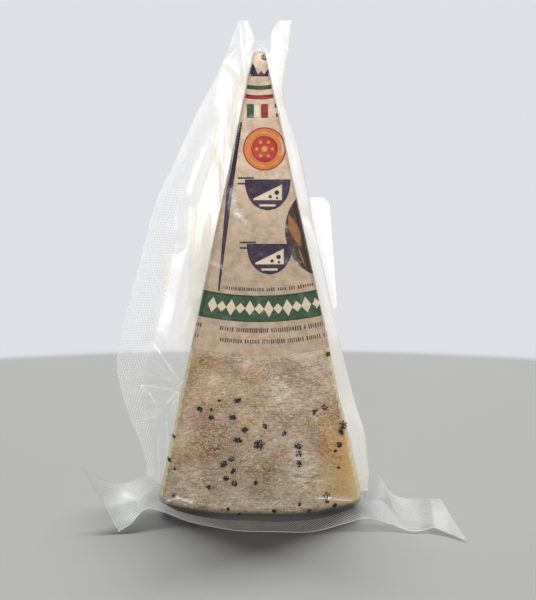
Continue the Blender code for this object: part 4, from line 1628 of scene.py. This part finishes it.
    def fin_rails(self) -> list[Sequence[Point]]:
        """Give the root, the fold and the turned-back free edge of the right fin.

        Returns:
            The three rails.
        """
        fold = [Vector(p) for p in self.fin_fold]
        turned = []
        for index, point in enumerate(fold):
            along = fold[min(index + 1, len(fold) - 1)] - fold[max(index - 1, 0)]
            back = Vector((-self.fin_lean * along.length, along.z, -along.y)).normalized()
            swell = math.sin(math.pi * index / (len(fold) - 1))
            share = self.fin_end_share + (1 - self.fin_end_share) * swell
            turned.append(tuple(point + back * self.fin_reach_mm * share))
        return [self.root_of(1, self.fin_root, self.right_ear), self.fin_fold, turned]

    def pinched(self) -> list[Fold]:
        """Give the fine creases that fan out from where the wing is pinched to the cheese.

        Returns:
            The creases.
        """
        folds = []
        for index, (turn, long) in enumerate(self.pinch_turns):
            way = math.radians(turn)
            start, end = ((self.pinch[0] + reach * math.cos(way),
                           self.pinch[1] + reach * math.sin(way))
                          for reach in (1.5 + 1.1 * (index % 3), long))
            folds.append(Fold(start, end, 0.35 if index % 2 else -0.35, 0.9, 0.16))
        return folds

    def build_skin(self, material: bpy.types.Material) -> None:
        """Build the film that is drawn tight over the cheese.

        Args:
            material: The film that it is made of.
        """
        spots, quads, normals = remeshed(*FORM.solid(0.0), self.skin_voxel)
        places = spots[:, [0, 2]] / MM
        front = smooth_step(0.35, 0.85, -normals[:, 1])
        milk_and_highlight, rise = np.zeros((2, len(spots)))
        for veil in self.glints:
            milk_and_highlight += veil.milk_and_highlight * veil.over(places)
        for fold in self.wrinkles_and_glints:
            gap = to_segment(places, fold.start, fold.end)
            rise += fold.rise * MM * np.clip(1 - gap / fold.wide, 0, None)
            milk_and_highlight += fold.milk_and_highlight * np.exp(-(gap / 0.40) ** 2)
        drift = np.array([noise_at(p * (1.0, 1.0, 0.35), 0.007, 4.0) for p in spots])
        # Along the front edge of each cut side the film is painted milky, a painted highlight
        # beside the label; the other hidden faces get patches of haze.
        edge_highlight = smooth_step(0.004, 0.0, spots[:, 1] - FORM.front_y)
        hidden = 0.08 + 0.30 * smooth_step(0.15, 0.6, drift) + 0.30 * edge_highlight
        rise = rise * front + (1 - front) * 0.00025 * np.clip(drift, 0, None)
        spots = spots + normals * (FORM.relief_of(spots, front) + rise)[:, None]
        spots[:, 2] = np.maximum(spots[:, 2], 0.0)
        piece = make_piece("pouch_skin", spots, quads, [material],
                           {"milk_and_highlight": np.clip(milk_and_highlight * front + (1 - front) * hidden, 0, 1)})
        LOG.info("pouch_skin: %d quads", len(quads))
        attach(piece, "root")
        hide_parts("vacuum_pack")

    def build(self) -> None:
        """Build the skin, the four free sheets and what is pressed into them."""
        self.build_skin(FilmFinish(
            "clear_tight_film", 0.05, 0.80, 0.18, clear_tone="#6A645A", roughness=0.18,
            mirror_ior=1.7, ripple_mm=4.0, ripple=0.45, stretch=(1.0, 1.0, 0.8)).material())
        wing = FilmSheet(
            "pouch_wing",
            [self.root_of(-1, self.wing_root, self.left_ear), self.wing_crease, self.wing_edge],
            380, (52, 40), (0.18, 0.18, 0.15), [*self.wing_folds, *self.pinched()],
            self.wing_painted_shade, self.wing_haze_and_highlights)
        fin = FilmSheet(
            "pouch_fin", self.fin_rails(), 320, (24, 34), (0.54, 0.43, 0.22),
            (Fold((7.1, 162.5), (7.0, 147.0), 0.6, 2.0, 0.45),
             Fold((4.3, 160.5), (4.0, 150.0), 0.4, 1.6, 0.35),
             Fold((16.4, 95.5), (24.0, 73.2), 0.3, 1.5, 0.5)),
            # The first patch takes milk from the fin's foot, a painted shade; the second clears the
            # ear. The two streaks after them are painted highlights on the fin.
            (Blot(34.0, 11.0, 9.0, 25.0, -0.37), Blot(7.0, 158.5, 7.0, 9.0, -0.20)),
            (Veil((17.0, 92.0), (26.0, 56.0), 3.0, 0.35),
             Veil((8.0, 132.0), (15.0, 102.0), 2.0, 0.40)), facing=(1.0, -1.0, 0.0))
        seam = FilmSheet(
            "pouch_seam", [self.seam_back, self.seam_rib_line, self.seam_free_edge], 300, (20, 20),
            (0.0, 0.02, 0.04),
            (Fold((-48.4, 7.1), (-33.0, 8.5), 0.5, 3.0, 0.12),
             Fold((55.8, 8.0), (55.4, 1.0), 0.8, 4.0, 0.2)),
            # The first patch whitens the left flap where it catches the light, a painted light.
            (Blot(-42.5, 5.0, 7.0, 8.5, 0.46), Blot(39.5, 10.0, 6.0, 7.0, -0.12)),
            facing=(0.0, -0.4, 1.0), ripple=0.0002, grain=(1.0, 1.0, 1.0), rim_milk=0.45, easing=2)
        web = FilmSheet(
            "pouch_tip_web", [self.web_low, self.web_high], 30, (26,), (0.06, 0.04),
            (Fold((-2.6, 151.5), (0.4, 154.6), 0.2, 1.0, 0.15),
             Fold((0.4, 154.6), (3.4, 152.0), 0.2, 1.0, 0.15)), ripple=0.0001, easing=0)
        wing.build(self.film.material())
        fin.build(FilmFinish("smooth_laminate_film", 0.08, 0.85, 0.25, roughness=0.38,
                             mirror_ior=1.8, ripple=0.10).material())
        # Painted shade: the seam's film gets grey tones instead of the near white of the film
        # above, as it lies low and flat.
        seam.build(FilmFinish("clear_seam_film", 0.03, edge_gain=0.10, clear_tone="#848684",
                              milk_and_highlight_tone="#D6D8D6", roughness=0.35, mirror_ior=1.4).material())
        web.build(FilmFinish("clear_web_film", 0.03, 0.80, 0.10, roughness=0.2, mirror_ior=1.5,
                             ripple=0.1).material())
        self.build_emboss(wing, FilmFinish(
            "embossed_laminate_film", 0.06, 0.85, 0.20, roughness=0.3, mirror_ior=1.5,
            ripple=0.0).material())
        # The ribs get grey tones too, the same painted shade.
        self.build_ribs(seam, FilmFinish(
            "ribbed_seam_film", 0.06, 0.85, 0.10, clear_tone="#7C7E7C", milk_and_highlight_tone="#C6C8C6",
            roughness=0.35, mirror_ior=1.4, ripple=0.0).material())

    def build_emboss(self, wing: FilmSheet, material: bpy.types.Material) -> None:
        """Build the small lozenges pressed into the wing's welded margin.

        Args:
            wing: The wing.
            material: The film that they are made of.
        """
        grid, normal = wing.grid, wing.normals()
        along = np.gradient(grid, axis=1)
        marks = Marks()
        first, last = wing.rows[0], len(grid) - 1
        for number, station in enumerate(wing.stations_every(self.emboss_pitch_mm * MM), 1):
            if not self.emboss_low < grid[last, station, 2] < self.emboss_high:
                continue
            width = float(np.linalg.norm(grid[last, station] - grid[first, station]))
            count = max(int(width / (self.emboss_step_mm * MM)), 2)
            for step in range(count):
                share = (step + 0.5 + 0.5 * (number % 2)) / count
                row = first + share * (last - first)
                low = int(row)
                if share > 0.97 or abs(normal[low, station, 1]) < 0.45:
                    continue
                part, high = row - low, min(low + 1, last)
                spot = grid[low, station] * (1 - part) + grid[high, station] * part
                marks.add(spot + normal[low, station] * wing.thickness / 2, along[low, station],
                          normal[low, station], (0.82 * MM, 0.50 * MM, 0.16 * MM))
        self.pressed(marks.build("wing_emboss", Grain.LOZENGE, material),
                     [self.pressed_milk] * len(marks.rows))

    def build_ribs(self, seam: FilmSheet, material: bpy.types.Material) -> None:
        """Build the fine ribs across the bottom seam and its flaps.

        Args:
            seam: The seam.
            material: The film that they are made of.
        """
        grid, normal = seam.grid, seam.normals()
        first, last = seam.rows[0], len(grid) - 1
        marks, milks = Marks(), []
        for station in seam.stations_every(self.rib_pitch_mm * MM):
            across = float(grid[last, station, 0])
            hollow = smooth_step(0.036, 0.028, abs(across))
            side = self.left_rib_milk if across < 0 else self.right_rib_milk
            for low in range(2 if across < -0.034 or across > 0.048 else first, last, 4):
                high = min(low + 4, last)
                start, end = grid[low, station], grid[high, station]
                reach = float(np.linalg.norm(end - start))
                if reach < 1e-5:
                    continue
                marks.add((start + end) / 2 + normal[low, station] * seam.thickness / 2,
                          end - start, normal[(low + high) // 2, station],
                          (reach * 1.04, 0.34 * MM, 0.14 * MM))
                milks.append(side + self.strip_rib_milk * hollow)
        self.pressed(marks.build("seam_ribs", Grain.BAR, material), milks)

    def pressed(self, piece: bpy.types.Object, milks: Sequence[float]) -> None:
        """Let a pressed pattern ride with the pack, each of its shapes as milky as given.

        Args:
            piece: The pattern.
            milks: One number for each of its shapes.
        """
        milk_and_highlight = np.repeat(milks, len(piece.data.vertices) // len(milks)).astype(np.float32)
        piece.data.attributes.new("milk_and_highlight", "FLOAT", "POINT").data.foreach_set("value", milk_and_highlight)
        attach(piece, "root")


# ------------------------------------------------------------------------------ the back label
@dataclass
class BackLabel:
    """The white paper label on the back, with plain printed bars."""

    centre_z: float = 0.078
    tilt: float = math.radians(-4.5)
    back_y: float = 0.0378
    thickness: float = 0.0005
    print_thickness: float = 0.00008
    paper: PaperFinish = field(default_factory=lambda: PaperFinish(
        "white_thermal_paper", "#FBFCFF", "#FBFCFF", 50.0, 100.0, "#F5F6F8", 0.4, 0.5,
        crumple_mm=0.1))

    def bar(self, marks: Marks, x: float, z: float, wide: float, tall: float, way: int) -> None:
        """Print a bar, placed in millimetres from the label's middle.

        Args:
            marks: The marks that the bar joins.
            x: Its middle, across.
            z: Its middle, in height.
            wide: Its width.
            tall: Its height.
            way: The side that it is on, +1 behind and -1 in front.
        """
        turn = Matrix.Rotation(self.tilt, 3, "Y")
        spot = turn @ Vector((x * MM, 0.0, z * MM))
        depth = self.back_y + (self.thickness if way > 0 else 0.0)
        marks.add((spot.x, depth, spot.z + self.centre_z), turn @ Vector((1.0, 0.0, 0.0)),
                  (0.0, way, 0.0), (wide * MM, tall * MM, self.print_thickness))

    def build(self, node: bpy.types.Object) -> None:
        """Dress the label's own solid and print plain bars on it.

        Args:
            node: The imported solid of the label.
        """
        node.data.materials.clear()
        node.data.materials.append(self.paper.material())
        draw = np.random.default_rng(21)
        marks = Marks()
        for row in range(9):
            x = -22.0
            while x < (20.0 if row < 4 else 4.0):
                wide = draw.uniform(1.2, 4.5)
                self.bar(marks, -(x + wide / 2), 14.0 - row * 3.0, wide, 0.9, 1)
                x += wide + 0.9
        for step in range(16):
            self.bar(marks, -(8.0 + step * 0.95), -8.5, draw.choice((0.4, 0.8, 1.2)) * 0.6, 9.0, 1)
        for step in range(9):
            self.bar(marks, -24.9, -11.2 - step, 3.0, 0.42, -1)
        ink = InkFinish("black_thermal_print", "#28272A", "#5C5A5A", 0.3)
        piece = marks.build("back_label_print", Grain.BAR, ink.material())
        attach(piece, "root")


# ------------------------------------------------------------------------------ the studio
@dataclass
class Studio:
    """The plain pale floor, the soft lights and the camera."""

    camera_at: Point = (0.0028, -0.5375, 0.1250)
    pitch: float = math.radians(6.13)
    focal_px: float = 1562.0
    frame_px: float = 536.0
    sensor_mm: float = 36.0
    floor_near: str = "#737472"
    floor_half: float = 30.0
    floor_z: float = -0.0001
    sky: str = "#DFE0E6"
    counter_edge: float = 0.355
    edge_blur: float = 0.012
    room_level: float = 0.17
    # Each light's name, where it shines from, its spread in degrees and its strength.
    lamps: Sequence[tuple[str, Point, float, float]] = (
        ("ceiling", (0.15, 0.60, 0.90), 16.0, 4.1), ("skylight", (-0.13, 0.60, 0.90), 18.0, 3.4),
        ("room", (0.05, -1.40, 0.14), 30.0, 3.02), ("window", (-1.10, -0.55, 0.12), 40.0, 0.4),
        ("door", (1.10, -0.55, 0.12), 40.0, 0.8))

    def build(self) -> None:
        """Build the stage round the object."""
        self.build_floor()
        self.build_lights()
        self.build_camera()

    def build_floor(self) -> None:
        """Build the floor: a grey round under the object, as pale as the sky past its edge."""
        made, node, _ = new_finish("pale_matte_floor")
        shader = made.node_tree.nodes["Principled BSDF"]
        place = node("ShaderNodeTexCoord", out="Object")
        away = node("ShaderNodeVectorMath", {0: place}, 1, operation="LENGTH")
        past = node("ShaderNodeMapRange",
                    {"Value": away, "From Min": self.counter_edge - self.edge_blur,
                     "From Max": self.counter_edge + self.edge_blur},
                    interpolation_type="SMOOTHSTEP")
        plug(shader, {"Base Color": linear(self.floor_near), "Roughness": 0.7,
                      "Specular IOR Level": 0.2})
        glow = node("ShaderNodeEmission", {0: linear(self.sky), 1: 1.0})
        mixed = node("ShaderNodeMixShader", {0: past, 1: shader.outputs[0], 2: glow})
        plug(made.node_tree.nodes["Material Output"], {"Surface": mixed})
        corners = [(x * self.floor_half, y * self.floor_half, self.floor_z)
                   for x, y in ((-1, -1), (1, -1), (1, 1), (-1, 1))]
        make_piece("floor", corners, [(0, 1, 2, 3)], [made], smooth=False)

    def build_lights(self) -> None:
        """Build the soft lights and the even pale surroundings."""
        for name, at, spread, strength in self.lamps:
            lamp = bpy.data.lights.new(name, "SUN")
            lamp.angle = math.radians(spread)
            lamp.energy = strength
            light = bpy.data.objects.new(name, lamp)
            light.location = at
            light.rotation_euler = (-Vector(at)).to_track_quat("-Z", "Y").to_euler()
            bpy.context.scene.collection.objects.link(light)
        # The wall is as pale as the sky, and the room round it fills the shadows with less light.
        world = bpy.data.worlds.new("pale_room")
        world.use_nodes = True
        node = partial(add_node, world.node_tree)
        seen = node("ShaderNodeLightPath", out="Is Camera Ray")
        level = node("ShaderNodeMapRange",
                     {"Value": seen, "To Min": self.room_level, "To Max": 1.0})
        plug(world.node_tree.nodes["Background"], {0: linear(self.sky), 1: level})
        bpy.context.scene.world = world

    def build_camera(self) -> None:
        """Build the camera at the photograph's place."""
        lens = bpy.data.cameras.new("camera")
        lens.sensor_fit = "HORIZONTAL"
        lens.sensor_width = self.sensor_mm
        lens.lens = self.sensor_mm * self.focal_px / self.frame_px
        lens.clip_start, lens.clip_end = 0.01, 100.0
        camera = bpy.data.objects.new("camera", lens)
        camera.location = self.camera_at
        camera.rotation_euler = (math.pi / 2 - self.pitch, 0.0, 0.0)
        scene = bpy.context.scene
        scene.collection.objects.link(camera)
        scene.camera = camera
        scene.view_settings.view_transform = "Standard"
        scene.cycles.transparent_max_bounces = 24


# ------------------------------------------------------------------------------ main
def main() -> None:
    """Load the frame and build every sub-assembly."""
    logging.basicConfig(level=logging.INFO, format="%(message)s")
    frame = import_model()
    cheese = Cheese()
    cheese.build_body()
    cheese.build_mould()
    label = FaceLabel()
    label.build_paper()
    label.build_print()
    Pouch().build()
    BackLabel().build(frame["nodes"]["back_label"])
    Studio().build()


if __name__ == "__main__":
    main()
